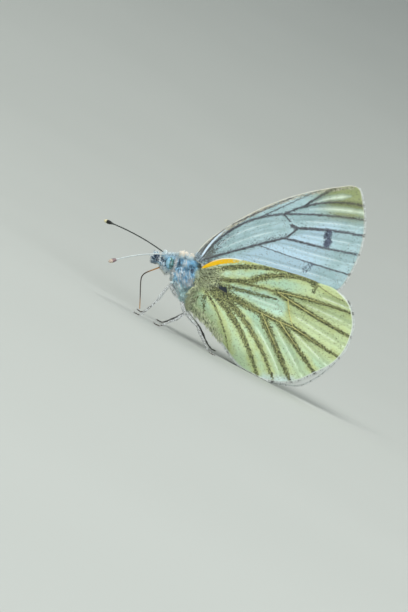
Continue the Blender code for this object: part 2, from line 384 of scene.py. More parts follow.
# Distances of the wings from the plane between the halves, as in the solids
FORE_REST = 0.36
FORE_ROOT_FLARE = 1.02
FORE_ROOT = (-1.0, 0.6)
FORE_FLARE_RADIUS = 2.0
HIND_REST = 1.09
HIND_REAR_REST = 0.42
FORE_LOWER_EDGE = (0.8, 0.265)
HIND_FALL = 4.0
HIND_FLARE = 0.78
HIND_FLARE_RADIUS = 2.2
WAIST = (0.95, -2.1)
TAIL = (9.7, -6.45)

MEMBRANE = 0.07         # thickness of a wing with its scales
FORE_LEAN = 0.14        # the forewing's membrane lies in the outer part of its solid,
HIND_LEAN = -0.13       # and the hindwing's in the inner part, so that they nearly touch
PLEAT = 0.11            # how far veins stand out and folds sink in
GRID = 0.14             # spacing of the points in a wing's mesh
RIM_STEPS = 16          # steps to each stretch of a wing's rim
CURVE_STEPS = 24        # and to a vein or fold
FLOOR_ROOM = 0.01       # room between the rim and the floor
FAR = 9.0               # stands for the distance to a vein or fold where there is none
DUST_EDGE = (0.3, 1.6)      # dusting fades out between these shares of its half width,
SPOT_EDGE = (0.45, 1.25)    # and a spot between these
HIND_DUST_TAPER = 0.6   # the hindwing's dusting narrows by this share along a vein

# A vein leaves its parent vein or the wing's seat, and bows on its way to its end. Each end is a share
# of the way along a named edge or vein, and where a third value follows, that is how far it reaches
# from the seat towards there. Then come the half width of its dusting, the dusting's strength at the
# first and last end, and the vein's own radius, 0 where there is only dusting.
Vein = namedtuple("Vein", "start end bow dust first last radius")

FORE_VEINS = {
    "subcosta root": Vein(("root front", 0.5, 0.3), ("front edge", 0.1, 0.97), 0.35, 0.1, 1.0, 0.9, 0.06),
    "subcosta": Vein(("subcosta root", 1.0), ("front edge", 0.62), 0.0, 0.1, 0.9, 0.6, 0.05),
    "radius": Vein(("tip", 0.5, 0.02), ("front edge", 0.87, 0.63), 1.45, 0.18, 1.1, 0.8, 0.07),
    "front branch": Vein(("radius", 0.75), ("front edge", 0.77), 0.0, 0.12, 0.7, 0.5, 0.05),
    "stalk": Vein(("radius", 1.0), ("front edge", 0.94, 0.72), 0.05, 0.17, 0.9, 0.8, 0.06),
    "tip branch": Vein(("stalk", 1.0), ("front edge", 0.9), 0.1, 0.16, 0.9, 0.7, 0.05),
    "first median": Vein(("stalk", 1.0), ("outer edge", 0.1), 0.5, 0.17, 0.9, 0.7, 0.05),
    "second median": Vein(("radius", 1.0), ("outer edge", 0.28), 0.25, 0.17, 0.9, 0.7, 0.05),
    "third median": Vein(("outer edge", 0.12, 0.6), ("outer edge", 0.48), 0.2, 0.21, 1.0, 0.8, 0.06),
    "cell end front": Vein(("radius", 1.0), ("tip", 0.7, 0.57), 0.0, 0.13, 0.8, 0.8, 0.04),
    "cell end rear": Vein(("outer edge", 0.02, 0.57), ("third median", 0.0), 0.0, 0.24, 0.9, 1.1, 0.05),
    "cubitus": Vein(("rear corner", 0.0, 0.02), ("outer edge", 0.25, 0.52), 0.05, 0.18, 0.9, 1.0, 0.07),
    "cubitus shade": Vein(("outer edge", 0.3, 0.08), ("outer edge", 0.22, 0.53), 0.15, 0.42, 0.3, 0.45, 0.0),
    "cell corner": Vein(("cubitus", 1.0), ("third median", 0.0), -0.1, 0.15, 1.0, 1.0, 0.06),
    "first cubital": Vein(("cubitus", 1.0), ("outer edge", 0.73), -0.1, 0.17, 1.0, 0.8, 0.05),
    "second cubital": Vein(("cubitus", 0.68), ("outer edge", 1.0), -0.15, 0.13, 0.35, 0.9, 0.05),
    "rear vein": Vein(("rear corner", 0.5, 0.06), ("rear corner", 0.7), 0.45, 0.12, 0.3, 0.4, 0.05),
    "root shade": Vein(("outer edge", 0.15, 0.06), ("front edge", 0.45, 0.47), 0.3, 0.6, 0.8, 0.15, 0.0),
}
HIND_VEINS = {
    "costal": Vein(("shoulder", 0.5, 0.25), ("leading edge", 0.8), 1.15, 0.42, 1.0, 1.0, 0.06),
    "radial stem": Vein(("outer edge", 0.1, 0.08), ("leading edge", 0.95, 0.41), -0.1, 0.42, 0.8, 0.9, 0.06),
    "radial": Vein(("radial stem", 1.0), ("leading edge", 0.87, 0.94), 0.85, 0.5, 0.9, 1.0, 0.06),
    "radial tip": Vein(("radial", 1.0), ("front corner", 0.5), -0.15, 0.15, 0.4, 0.35, 0.05),
    "median stem": Vein(("outer edge", 0.5, 0.01), ("front corner", 0.6, 0.52), 0.25, 0.33, 0.9, 0.9, 0.07),
    "first median": Vein(("median stem", 1.0), ("front corner", 0.75), 0.25, 0.4, 0.95, 0.9, 0.06),
    "second median": Vein(("median stem", 1.0), ("outer edge", 0.2), -0.1, 0.46, 0.95, 1.0, 0.06),
    "cubitus": Vein(("rear corner", 0.0, 0.02), ("outer edge", 0.5, 0.66), -0.4, 0.7, 1.0, 1.0, 0.08),
    "cell end": Vein(("second median", 0.15), ("cubitus", 1.0), -0.15, 0.1, 0.3, 0.3, 0.08),
    "third median": Vein(("cubitus", 1.0), ("outer edge", 0.57), 0.0, 0.42, 1.0, 0.85, 0.06),
    "first cubital": Vein(("cubitus", 0.86), ("outer edge", 1.0), 0.0, 0.5, 1.0, 1.0, 0.06),
    "second cubital": Vein(("cubitus", 0.67), ("rear corner", 0.5), 0.0, 0.58, 1.0, 1.0, 0.06),
    "first anal": Vein(("rear corner", 0.0, 0.06), ("rear corner", 0.85), 1.3, 0.52, 1.15, 0.75, 0.06),
    "second anal": Vein(("lobe", 0.3, 0.05), ("lobe", 0.2), 1.1, 0.52, 1.25, 0.85, 0.06),
    "third anal": Vein(("lobe", 0.9, 0.17), ("inner edge", 0.05), 0.55, 0.17, 1.0, 0.8, 0.04),
    "cell shade": Vein(("outer edge", 0.45, 0.11), ("outer edge", 0.0, 0.5), 0.0, 0.4, 0.9, 0.8, 0.0),
    "front corner shade": Vein(("radial", 0.97), ("front corner", 0.25, 0.8), 0.1, 0.6, 1.0, 0.6, 0.0),
    "root shade": Vein(("shoulder", 0.6, 0.3), ("outer edge", 0.0, 0.065), 0.0, 1.2, 0.75, 0.6, 0.0),
    "inner shade": Vein(("inner edge", 0.5, 0.4), ("inner edge", 0.66, 0.8), 0.0, 0.4, 0.7, 0.5, 0.0),
    "inner root shade": Vein(("inner root", 0.15, 0.95), ("inner edge", 0.8, 0.5), -0.15, 0.3, 1.0, 0.9, 0.0),
}
# A fold runs between two veins, at a share of the way across, from one share along them to another
Fold = namedtuple("Fold", "one other across first last", defaults=(0.5, 0.05, 1.0))

FORE_FOLDS = [
    Fold("tip branch", "first median"), Fold("first median", "second median"),
    Fold("second median", "third median"), Fold("third median", "first cubital"),
    Fold("first cubital", "second cubital"), Fold("second cubital", "rear vein"),
    Fold("radius", "cubitus", 0.3, 0.1, 1.0), Fold("radius", "cubitus", 0.65, 0.15, 1.0),
]
HIND_FOLDS = [
    Fold("median stem", "cubitus", 0.5, 0.55, 0.95), Fold("radial tip", "first median", 0.5, 0.4),
    Fold("first median", "second median", 0.5, 0.3), Fold("second median", "third median"),
    Fold("third median", "first cubital"), Fold("first cubital", "second cubital"),
    Fold("second cubital", "first anal", 0.5, 0.3),
]
# A dark spot lies between two veins: where it starts and ends along and across them, and its size
Spot = namedtuple("Spot", "one other start end half strength")

FORE_SPOTS = [
    Spot("third median", "first cubital", (0.5, 0.15), (0.5, 0.35), 0.62, 0.85),
    Spot("third median", "first cubital", (0.55, 0.6), (0.55, 0.8), 0.55, 1.0),
    Spot("second cubital", "rear vein", (0.6, 0.1), (0.65, 0.4), 0.6, 0.4),
]
HIND_SPOTS = [
    Spot("cubitus", "median stem", (0.17, 0.2), (0.22, 0.2), 0.3, 1.0),
    Spot("cubitus", "median stem", (0.25, 0.2), (0.27, 0.2), 0.42, 1.1),
]


def arc(start, end, height, steps=CURVE_STEPS):
    """An arc in a wing's plane, whose middle stands out by its height to the left of its course."""
    span = np.array(end, float) - np.array(start, float)
    left = np.array([-span[1], span[0]]) / np.linalg.norm(span)
    return bowed(start, end, height * left, steps)


def edges_of(arcs):
    """Each named edge of a wing as a line of points."""
    names, lines = list(arcs), {}
    for name, following in zip(names, names[1:] + names[:1]):
        x, z, height = arcs[name]
        end = arcs[following][:2]
        steps = max(2, round(math.dist((x, z), end) / ARC_STEP))
        lines[name] = arc((x, z), end, height, steps)
    return lines


def along(line, shares):
    """The places at the given shares of the way along a line."""
    at = np.atleast_1d(shares) * (len(line) - 1)
    return np.stack([np.interp(at, np.arange(len(line)), line[:, k]) for k in (0, 1)], 1)


def place_on(lines, seat, name, share, reach=1.0):
    """A place on a wing: a share of the way along a named line, and how far from the seat towards it."""
    return seat + reach * (along(lines[name], share)[0] - seat)


def with_veins(edges, seat, veins):
    """The edges of a wing, and the course of each of its veins."""
    lines, seat = dict(edges), np.array(seat)
    for name, vein in veins.items():
        lines[name] = arc(place_on(lines, seat, *vein.start), place_on(lines, seat, *vein.end), vein.bow)
    return lines


def between(lines, one, other, across, shares):
    """Places between two veins: a share of the way across, at shares of the way along them."""
    return along(lines[one], shares) * (1 - across) + along(lines[other], shares) * across


FORE_EDGES = edges_of(FORE_ARCS)
HIND_EDGES = edges_of(HIND_ARCS)
FORE_SEAT = (-0.8, 1.1)     # the veins of a wing rise from its seat
HIND_SEAT = (0.2, -0.6)
FRONT_RIM = np.concatenate([FORE_EDGES["root front"], FORE_EDGES["front edge"]])
INNER_RIM = np.concatenate([along(HIND_EDGES["inner edge"], np.linspace(0.35, 1, 9)),
                            HIND_EDGES["inner root"]])
PALE_STREAK = arc((-0.6, 1.5), (2.4, 8.7), 0.8)
ORANGE_STREAK = arc((0.1, 0.9), (5.8, 4.1), 0.4)
CELL_MIDDLE = arc((3.0, 1.2), (11.0, 0.5), 0.0)
# painted highlight: a soft bluish-white sheen is painted along this stretch of the hindwing's lower rim
PAINTED_HIGHLIGHT_RIM = along(HIND_EDGES["rear corner"], np.linspace(0.5, 1, 9))
WING_SEAT = arc(FORE_ARCS["root front"][:2], HIND_ARCS["root"][:2], 0.2)
BELT = arc((-0.8, -2.5), (1.9, -1.1), 0.1)      # long hair runs back over the waist to the hindwing's root


def fore_offset(x, z):
    """Distance of the forewing's solid from the plane between the halves."""
    reach = np.hypot(x - FORE_ROOT[0], z - FORE_ROOT[1]) / FORE_FLARE_RADIUS
    return FORE_REST + FORE_ROOT_FLARE * np.exp(-reach ** 2)


def hind_offset(x, z):
    """Distance of the hindwing's solid from the plane between the halves."""
    base, slope = FORE_LOWER_EDGE
    drop = smooth((base + slope * x - z) / HIND_FALL, 0, 1)
    rest = HIND_REST + (HIND_REAR_REST - HIND_REST) * drop
    gap, _ = nearest(np.stack([x, z], 1), np.array([WAIST, TAIL]))
    bow = (HIND_FLARE + HIND_REST - rest) * np.exp(-(gap / HIND_FLARE_RADIUS) ** 2)
    return rest + np.maximum(bow, fore_offset(x, z) - FORE_REST)


def outline_of(edges):
    """The points of a wing's outline, which runs clockwise through its edges."""
    return np.concatenate([line[:-1] for line in edges.values()])


def hind_outline(side):
    """The right hindwing is spread a little further at its rear corner."""
    outline = outline_of(HIND_EDGES)
    if side < 0:
        return outline
    away = np.hypot(outline[:, 0] - SPREAD_CORNER[0], outline[:, 1] - SPREAD_CORNER[1])
    spread = RIGHT_SPREAD * np.exp(-(away / SPREAD_WIDTH) ** 2)
    return outline + spread[:, None] * np.array([SPREAD_WAY])


def inside(places, rim):
    """Which places lie within a closed line."""
    x, z = places[:, 0][:, None], places[:, 1][:, None]
    ax, az = rim[:, 0][None], rim[:, 1][None]
    bx, bz = np.roll(rim[:, 0], -1)[None], np.roll(rim[:, 1], -1)[None]
    crosses = (az > z) != (bz > z)
    rise = np.where(bz == az, 1.0, bz - az)
    return (crosses & (x < (bx - ax) * (z - az) / rise + ax)).sum(1) % 2 == 1


FOLD_FADE = 0.25        # how far away a fold seems where it fades out
FOLD_RADIUS = 0.032


class Wing:
    """One wing: its outline, the lie of its membrane, and the fields that its markings follow."""

    def __init__(self, name, outline, offset, lean, side, lines, veins, folds, spots, taper=0.0):
        self.name = name
        self.side = side
        self.offset = offset
        self.lean = lean
        self.veins = [(vein, lines[name]) for name, vein in veins.items()]
        self.folds = [between(lines, fold.one, fold.other, fold.across,
                              np.linspace(fold.first, fold.last, CURVE_STEPS)) for fold in folds]
        self.spots = [(spot.half, spot.strength,
                       *(between(lines, spot.one, spot.other, across, share)[0]
                         for share, across in (spot.start, spot.end))) for spot in spots]
        self.taper = taper
        rim = even_steps(through(outline, RIM_STEPS, closed=True), GRID, closed=True)
        rim[:, 1] = np.maximum(rim[:, 1], -HINGE_HEIGHT + FLOOR_ROOM)
        self.rim = rim

    def fields(self, at):
        """What the markings need to know at each place."""
        dust = np.zeros(len(at))
        vein_gap = np.full(len(at), FAR)
        for vein, line in self.veins:
            gap, along = nearest(at, line)
            strength = vein.first + (vein.last - vein.first) * along
            half = vein.dust * (1 - self.taper * along)
            dust = np.maximum(dust, strength * (1 - smooth(gap / half, *DUST_EDGE)))
            if vein.radius:
                vein_gap = np.minimum(vein_gap, gap)
        rim_gap, _ = nearest(at, np.vstack([self.rim, self.rim[:1]]))
        fold_gap = np.full(len(at), FAR)
        for fold in self.folds:
            gap, run = nearest(at, fold)
            faded = 1 - smooth(run, 0.0, 0.2) + smooth(run, 0.8, 1.0) * smooth(rim_gap, 0.4, 1.2)
            fold_gap = np.minimum(fold_gap, gap + FOLD_FADE * faded)
        spot = np.zeros(len(at))
        for half, strength, a, b in self.spots:
            gap, _ = nearest(at, np.array([a, b]))
            spot = np.maximum(spot, strength * (1 - smooth(gap / half, *SPOT_EDGE)))
        return dict(dust=dust, vein_gap=vein_gap, fold_gap=fold_gap, spot=spot, rim_gap=rim_gap)

    def depth(self, at, fields=None):
        """How far the middle of the membrane lies from the plane between the halves."""
        fields = fields or self.fields(at)
        vein, fold = fields["vein_gap"], fields["fold_gap"]
        pleat = PLEAT * (fold - vein) / (fold + vein + 0.05) * smooth(fields["rim_gap"], -0.3, 1.0)
        return self.offset(at[:, 0], at[:, 1]) + self.lean + pleat

    def membrane(self, materials, extra):
        """The two sides of the wing and its edge, as one closed mesh."""
        low, high = self.rim.min(0), self.rim.max(0)
        rows = np.arange(low[1], high[1], GRID * math.sqrt(0.75))
        grid = np.array([(x, z) for i, z in enumerate(rows)
                         for x in np.arange(low[0] + (i % 2) * GRID / 2, high[0], GRID)])
        grid = grid[inside(grid, self.rim)]
        grid = grid[nearest(grid, np.vstack([self.rim, self.rim[:1]]))[0] > 0.6 * GRID]
        flat = [Vector(p) for p in np.vstack([self.rim, grid])]
        at, _, faces, _, _, _ = delaunay_2d_cdt(flat, [], [list(range(len(self.rim)))], 1, 1e-6)
        at = np.array([tuple(p) for p in at])
        fields = self.fields(at)
        depth = self.depth(at, fields)
        count = len(at)
        verts = np.concatenate([
            np.stack([at[:, 0], self.side * (depth + half * MEMBRANE), at[:, 1]], 1) for half in (0.5, -0.5)])
        loops = np.array(faces)
        edges = {edge: True for a, b, c in faces for edge in ((a, b), (b, c), (c, a))}
        wall = [(b, a, a + count, b + count) for a, b in edges if (b, a) not in edges]
        shell = loops.tolist() + (loops[:, ::-1] + count).tolist() + wall
        piece = new_piece(self.name + "_membrane", verts, faces=shell, materials=materials)
        face_outward(piece)
        slots = np.zeros(len(shell), dtype=np.int32)
        slots[len(loops):2 * len(loops)] = 1
        piece.data.polygons.foreach_set("material_index", slots)
        fields.update(extra(at))
        put_values(piece, **{key: np.tile(values, 2) for key, values in fields.items()})
        self.lay_flat(piece, at)
        return piece

    def flat_place(self, at):
        """Where a place of the wing's lower side lies on the wing's flat map."""
        low, size = self.rim.min(0), np.ptp(self.rim, axis=0).max() * 2.05
        return (at - low) / size + 0.01

    def lay_flat(self, piece, at):
        """A map with the wing's two sides lying flat side by side."""
        flat = self.flat_place(at)
        both = np.concatenate([flat, flat + np.array([[0.5, 0.0]])])
        add_map(piece, "OFBake", both[read_all(piece.data.loops, "vertex_index")])


fore_wings, hind_wings = {}, {}
for label, side in SIDES.items():
    fore_wings[label] = Wing(
        "forewing_" + label, outline_of(FORE_EDGES), fore_offset, FORE_LEAN, side,
        with_veins(FORE_EDGES, FORE_SEAT, FORE_VEINS), FORE_VEINS, FORE_FOLDS, FORE_SPOTS)
    hind_wings[label] = Wing(
        "hindwing_" + label, hind_outline(side), hind_offset, HIND_LEAN, side,
        with_veins(HIND_EDGES, HIND_SEAT, HIND_VEINS), HIND_VEINS, HIND_FOLDS, HIND_SPOTS, HIND_DUST_TAPER)


def fore_extra(at):
    """Fields of the forewing alone: its yellow tip, its speckled front edge and its dusky root."""
    front, run = nearest(at, FRONT_RIM)
    tip = (smooth(at[:, 0] * 0.75 + at[:, 1] * 0.66, 14.0, 20.0)
           * smooth(at[:, 1] - 8.4 - 0.42 * at[:, 0], -1.2, 2.0))
    root = 1 - smooth(np.hypot(at[:, 0] + 0.9, at[:, 1] - 1.0), 0.8, 4.2)
    streak, course = nearest(at, PALE_STREAK)
    low = smooth(1.12 * at[:, 0] + 0.9 - at[:, 1], 0.0, 1.5) * (1 - smooth(at[:, 0], 11.0, 15.0))
    return dict(tip=tip, front=(1 - smooth(front, 0.35, 0.62)) * (1 - 0.5 * run), root=root, low=low,
                streak=(1 - smooth(streak, 0.05, 0.2)) * (1 - smooth(course, 0.25, 1.0)))


def hind_extra(at):
    """Fields of the hindwing alone: its orange shoulder and its fuzzy root."""
    gap, run = nearest(at, ORANGE_STREAK)
    orange = (1 - smooth(gap, 0.36 - 0.2 * run, 0.62 - 0.25 * run)) * (1.15 - 0.75 * run)
    root = 1 - smooth(np.hypot((at[:, 0] - 0.3) * 0.8, at[:, 1] - 0.1), 1.0, 3.2)
    inner, _ = nearest(at, INNER_RIM)
    cool = 1 - smooth(at[:, 0], 10.5, 14.5) * smooth(at[:, 1], -4.0, -2.0)
    cool = cool * (1 - 0.5 * smooth(-at[:, 1], 3.0, 5.0))
    cell, _ = nearest(at, CELL_MIDDLE)
    frost, _ = nearest(at, PAINTED_HIGHLIGHT_RIM)
    hem, _ = nearest(at, HIND_EDGES["leading edge"])
    tip = 1 - smooth(np.hypot(at[:, 0] - 16.5, at[:, 1] - 5.6), 0.4, 1.6)
    return dict(orange=orange, cool=cool, cell=1 - smooth(cell, 0.7, 1.8), frost=1 - smooth(frost, 0.2, 1.2),
                hem=smooth(hem, 0.15, 0.6), tip=tip, root=root, inner=1 - smooth(inner, 0.4, 2.2))


# ---------------------------------------------------------------------------- wing finishes

SCALES = {"Roughness": 0.75, "Specular_IOR_Level": 0.25, "Sheen_Weight": 0.15}
TUFTS = {"Roughness": 0.65, "Specular_IOR_Level": 0.3, "Sheen_Weight": 0.15}


def scale_bump(finish, height):
    """Rows of tiny overlapping scales over everything else that stands out."""
    rows = finish.cells(0.085, stretch=(1.0, 1.0, 0.7))
    grain = finish.noise(0.05, 1.0)
    return finish.bump(height + 0.35 * rows + 0.25 * grain, 0.02, 0.6)


def speckle(finish, grain, share, soft=0.12):
    """Which single scales are dark, where the given share of them is."""
    cell = finish.node("ShaderNodeSeparateColor", {}, {0: finish.cells(grain, out="Color")})
    return (share - cell).step(-soft, soft), finish.also(cell, 1)


def hindwing_underside():
    """Pale yellow, with broad olive dusting over the veins and an orange streak at the shoulder."""
    finish = Finish("hindwing_underside", **SCALES)
    dust, vein, fold, rim, root, inner, cool = (finish.field(name) for name in (
        "dust", "vein_gap", "fold_gap", "rim_gap", "root", "inner", "cool"))
    cloud, grain = finish.noise(1.4, 2.0), finish.noise(0.15, 2.0)
    middle_colour = finish.mix(cool, (0.60, 0.72, 0.41), (0.46, 0.66, 0.48))
    middle_colour = finish.mix(finish.field("cell") * 0.8, middle_colour, (0.60, 0.83, 0.70))
    ground = finish.mix((vein * 0.8 + cloud.around(1.2)).step(0.0, 0.8), (0.52, 0.60, 0.28), middle_colour)
    blue = (rim * -0.6 + 0.6 + (cloud - 0.5)).step(0.45, 1.0)
    ground = finish.mix(blue * 0.4, ground, (0.50, 0.68, 0.58))
    # painted highlight: a pale line along each fold, where light catches the pleat
    ground = finish.mix((1 - fold.step(0.01, 0.16)) * (0.25 + cloud * 0.8), ground, (0.80, 0.90, 0.76))
    # painted shade: a darker band just beside each fold, where the pleat is shaded
    ground = finish.mix(fold.beside(0.38, 0.04, 0.26) * 0.35, ground, (0.34, 0.43, 0.25))
    ground = finish.mix(inner * 0.6, ground, (0.46, 0.54, 0.27))
    # painted highlight: a soft bluish-white sheen along the lower rim
    ground = finish.mix(finish.field("frost") * 0.7, ground, (0.58, 0.72, 0.76))
    stray, _ = speckle(finish, 0.1, 0.13 + grain.around(0.5) + root * 0.4)
    ground = finish.mix(stray * 0.4, ground, (0.24, 0.28, 0.14))
    powder, shade = speckle(finish, 0.1, dust * 1.3 + grain.around(2.0) - 0.1)
    fringe_of_dust = (dust * -1.0 + 0.95).step(0.0, 0.6)
    olive = finish.mix((shade + fringe_of_dust.around(0.2)).step(0.35, 0.65), (0.04, 0.048, 0.025),
                       (0.32, 0.35, 0.145))
    olive = finish.mix(fringe_of_dust * 0.6, olive, (0.05, 0.055, 0.035))
    colour = finish.mix(powder, ground, olive)
    spot, _ = speckle(finish, 0.1, finish.field("spot") * 1.3 - 0.15)
    colour = finish.mix(spot, colour, (0.02, 0.026, 0.035))
    fuzz, _ = speckle(finish, 0.075, root * 1.3 - 0.2)
    salt = (grain * 0.6 + shade * 0.4).step(0.4, 0.6)
    colour = finish.mix(fuzz, colour, finish.mix(salt, (0.08, 0.10, 0.05), (0.72, 0.78, 0.48)))
    orange, _ = speckle(finish, 0.09, finish.field("orange") * 1.6 - 0.3 + grain.around(0.8))
    rich = (finish.field("orange") + grain.around(0.5)).step(0.5, 0.8)
    colour = finish.mix(orange, colour, finish.mix(rich, (0.46, 0.44, 0.09), (0.80, 0.46, 0.004)))
    # pale edge scales along the outer rims, partly a painted highlight along the rim
    hem = (1 - rim.step(0.06, 0.2)) * (1 - root) * finish.field("hem")
    colour = finish.mix(hem * 0.8, colour, (0.78, 0.84, 0.78))
    finish.link(Base_Color=colour)
    return scale_bump(finish, powder * 0.4).material


def forewing_underside():
    """Bluish white, with narrow slate dusting over the veins, a yellow tip and dark spots."""
    finish = Finish("forewing_underside", **SCALES)
    dust, vein, fold, rim, root, tip = (finish.field(name) for name in (
        "dust", "vein_gap", "fold_gap", "rim_gap", "root", "tip"))
    cloud, grain = finish.noise(1.5, 2.0), finish.noise(0.15, 2.0)
    ground = finish.mix(cloud.step(0.35, 0.65), (0.36, 0.52, 0.54), (0.44, 0.61, 0.65))
    ground = finish.mix(finish.field("low") * 0.9, ground, (0.49, 0.67, 0.79))
    # painted highlight: the yellow tip turns pale along its folds, where light catches the pleats
    yellow = finish.mix(fold.step(0.08, 0.5), (0.62, 0.72, 0.52), (0.30, 0.34, 0.12))
    yellow = finish.mix((vein + grain.around(0.8)).step(0.1, 0.6), (0.17, 0.185, 0.06), yellow)
    ground = finish.mix((tip + cloud.around(0.6)).step(0.0, 1.0) * 0.9, ground, yellow)
    # painted highlight: a pale line along each fold, where light catches the pleat
    ground = finish.mix((1 - fold.step(0.01, 0.12)) * (0.2 + cloud * 0.6), ground, (0.80, 0.90, 0.88))
    # painted shade: a darker band just beside each fold, where the pleat is shaded
    ground = finish.mix(fold.beside(0.34, 0.03, 0.22) * 0.3, ground, (0.25, 0.36, 0.36))
    front, shade = speckle(finish, 0.075, finish.field("front") * 1.15 + grain.around(0.6))
    bark = finish.mix(shade.step(0.3, 0.7), (0.15, 0.14, 0.10), (0.60, 0.57, 0.46))
    colour = finish.mix(front, ground, finish.mix(root * 0.7, bark, (0.17, 0.21, 0.24)))
    powder, shade = speckle(finish, 0.08, dust * 1.2 + grain.around(2.0) - 0.1)
    slate = finish.mix(shade.step(0.2, 0.8), (0.025, 0.03, 0.035), (0.16, 0.17, 0.19))
    slate = finish.mix((root * 1.6).clamped() * 0.8, slate, (0.065, 0.06, 0.03))
    slate = finish.mix(tip * 0.7, slate, (0.12, 0.12, 0.06))
    colour = finish.mix(powder, colour, slate)
    spot, shade = speckle(finish, 0.1, finish.field("spot") * 1.35 - 0.2)
    colour = finish.mix(spot, colour, finish.mix(shade, (0.02, 0.025, 0.035), (0.15, 0.18, 0.26)))
    dusk, _ = speckle(finish, 0.075, root * 0.7 + grain.around(0.6) - 0.1)
    colour = finish.mix(dusk, colour, (0.13, 0.15, 0.15))
    streak = (finish.field("streak") + grain.around(0.8)).step(0.35, 0.75)
    colour = finish.mix(streak, colour, (0.62, 0.74, 0.84))
    # a pale line along the rim: cream scales on the front edge and root, and partly a painted highlight along
    # the rim
    edge = (1 - rim.step(0.05, 0.16)) * (0.4 + (finish.field("front") + root).clamped() * 0.5)
    colour = finish.mix(edge, colour, (0.74, 0.74, 0.65))
    finish.link(Base_Color=colour)
    return scale_bump(finish, powder * 0.4).material


def upper_side(name):
    """The upper sides are white with grey-black tips, and dusky at the roots."""
    finish = Finish(name, **SCALES)
    grain = finish.noise(0.17, 3.0, roughness=0.65)
    ground = finish.mix(grain.step(0.3, 0.8) * 0.2, (0.74, 0.76, 0.73), (0.57, 0.61, 0.59))
    dark = (finish.field("tip") * 1.1 + finish.field("spot") + grain.around(0.7)).step(0.45, 0.7)
    colour = finish.mix(dark, ground, (0.07, 0.07, 0.075))
    dust = (finish.field("dust") * 0.6 + (grain - 0.5)).step(0.3, 0.8)
    colour = finish.mix(dust * 0.35, colour, (0.30, 0.31, 0.30))
    root = (finish.field("root") + grain.around(0.6)).step(0.4, 0.9)
    colour = finish.mix(root * 0.8, colour, (0.14, 0.15, 0.16))
    finish.link(Base_Color=colour)
    return scale_bump(finish, grain * 0.3).material


def vein_finish(name, dark, light):
    """Bare vein with a few scales on it, brighter in some stretches."""
    finish = Finish(name, Roughness=0.55, Specular_IOR_Level=0.35)
    share = finish.field("bright") + finish.noise(0.14, 2.0).around(1.4)
    finish.link(Base_Color=finish.mix(share.clamped(), dark, light))
    return finish.bump(finish.noise(0.06, 1.0), 0.01, 0.5).material


# ---------------------------------------------------------------------------- things that repeat

PATCH = 0.003           # how much of the map each tuft takes up


class Maker(Tree):
    """A Geometry Nodes tree with named inputs, whose result becomes a plain mesh."""

    def __init__(self, name):
        super().__init__(bpy.data.node_groups.new(name, "GeometryNodeTree"))
        self.tree.interface.new_socket("Geometry", in_out="INPUT", socket_type="NodeSocketGeometry")
        self.tree.interface.new_socket("Geometry", in_out="OUTPUT", socket_type="NodeSocketGeometry")
        self.start = self.tree.nodes.new("NodeGroupInput")
        self.end = self.tree.nodes.new("NodeGroupOutput")
        self.inputs = {}

    def geometry(self):
        return Value(self, self.start.outputs["Geometry"])

    def size(self, name, kind="NodeSocketFloat"):
        """A named input."""
        item = self.tree.interface.new_socket(name, in_out="INPUT", socket_type=kind)
        self.inputs[name] = item.identifier
        return Value(self, self.start.outputs[name])

    def read(self, name, kind="FLOAT"):
        """A field stored on the source."""
        return self.node("GeometryNodeInputNamedAttribute", {"data_type": kind}, {"Name": name})

    def store(self, geometry, name, value, kind="FLOAT", domain="POINT"):
        return self.node("GeometryNodeStoreNamedAttribute", {"data_type": kind, "domain": domain},
                         {"Geometry": geometry, "Name": name, "Value": value})

    def scaled(self, vector, share):
        """A vector times a number."""
        return self.node("ShaderNodeVectorMath", {"operation": "SCALE"}, {0: vector, "Scale": share})

    def random(self, low, high, seed, number):
        return self.node("FunctionNodeRandomValue", {"data_type": "FLOAT"},
                         {2: low, 3: high, "Seed": seed * 10 + number}, out=1)

    def finish(self, geometry, patched=False):
        """Plain geometry in one material leaves the tree, with each tuft's patch of the map."""
        material = self.size("Material", "NodeSocketMaterial")
        plain = self.node("GeometryNodeRealizeInstances", {}, {"Geometry": geometry})
        if patched:
            spot = self.vector("SUBTRACT", self.read("patch", "FLOAT_VECTOR"), (0.5, 0.5, 0.0))
            spot = self.vector("ADD", self.scaled(spot, PATCH), self.read("home", "FLOAT_VECTOR"))
            plain = self.store(plain, "OFBake", spot, "FLOAT2", "CORNER")
        done = self.node("GeometryNodeSetMaterial", {}, {"Geometry": plain, "Material": material})
        self.tree.links.new(done.socket, self.end.inputs["Geometry"])

    def make(self, name, source, **sizes):
        """Run the tree on a source object and return the result as a new object."""
        modifier = source.modifiers.new(self.tree.name, "NODES")
        modifier.node_group = self.tree
        for key, value in sizes.items():
            modifier[self.inputs[key.replace("_", " ")]] = value
        data = plain_mesh(source)
        source.modifiers.remove(modifier)
        data.name = name
        return add_object(name, data)


def tube_maker():
    """Round tubes along lines, as thick as each point says."""
    maker = Maker("tubes_along_lines")
    sides = maker.size("Sides", "NodeSocketInt")
    curve = maker.node("GeometryNodeMeshToCurve", {}, {"Mesh": maker.geometry()})
    ring = maker.node("GeometryNodeCurvePrimitiveCircle", {}, {"Resolution": sides, "Radius": 1.0})
    ring = maker.store(ring, "round", maker.node("GeometryNodeSplineParameter"))
    tube = maker.node("GeometryNodeCurveToMesh", {}, {"Curve": curve, "Profile Curve": ring,
                                                     "Scale": maker.read("thick"), "Fill Caps": True})
    home = maker.node("ShaderNodeCombineXYZ", {}, {0: maker.read("run"), 1: maker.read("round")})
    tube = maker.store(tube, "home", home, "FLOAT_VECTOR")
    tube = maker.node("GeometryNodeSetShadeSmooth", {}, {"Geometry": tube})
    maker.finish(tube)
    return maker


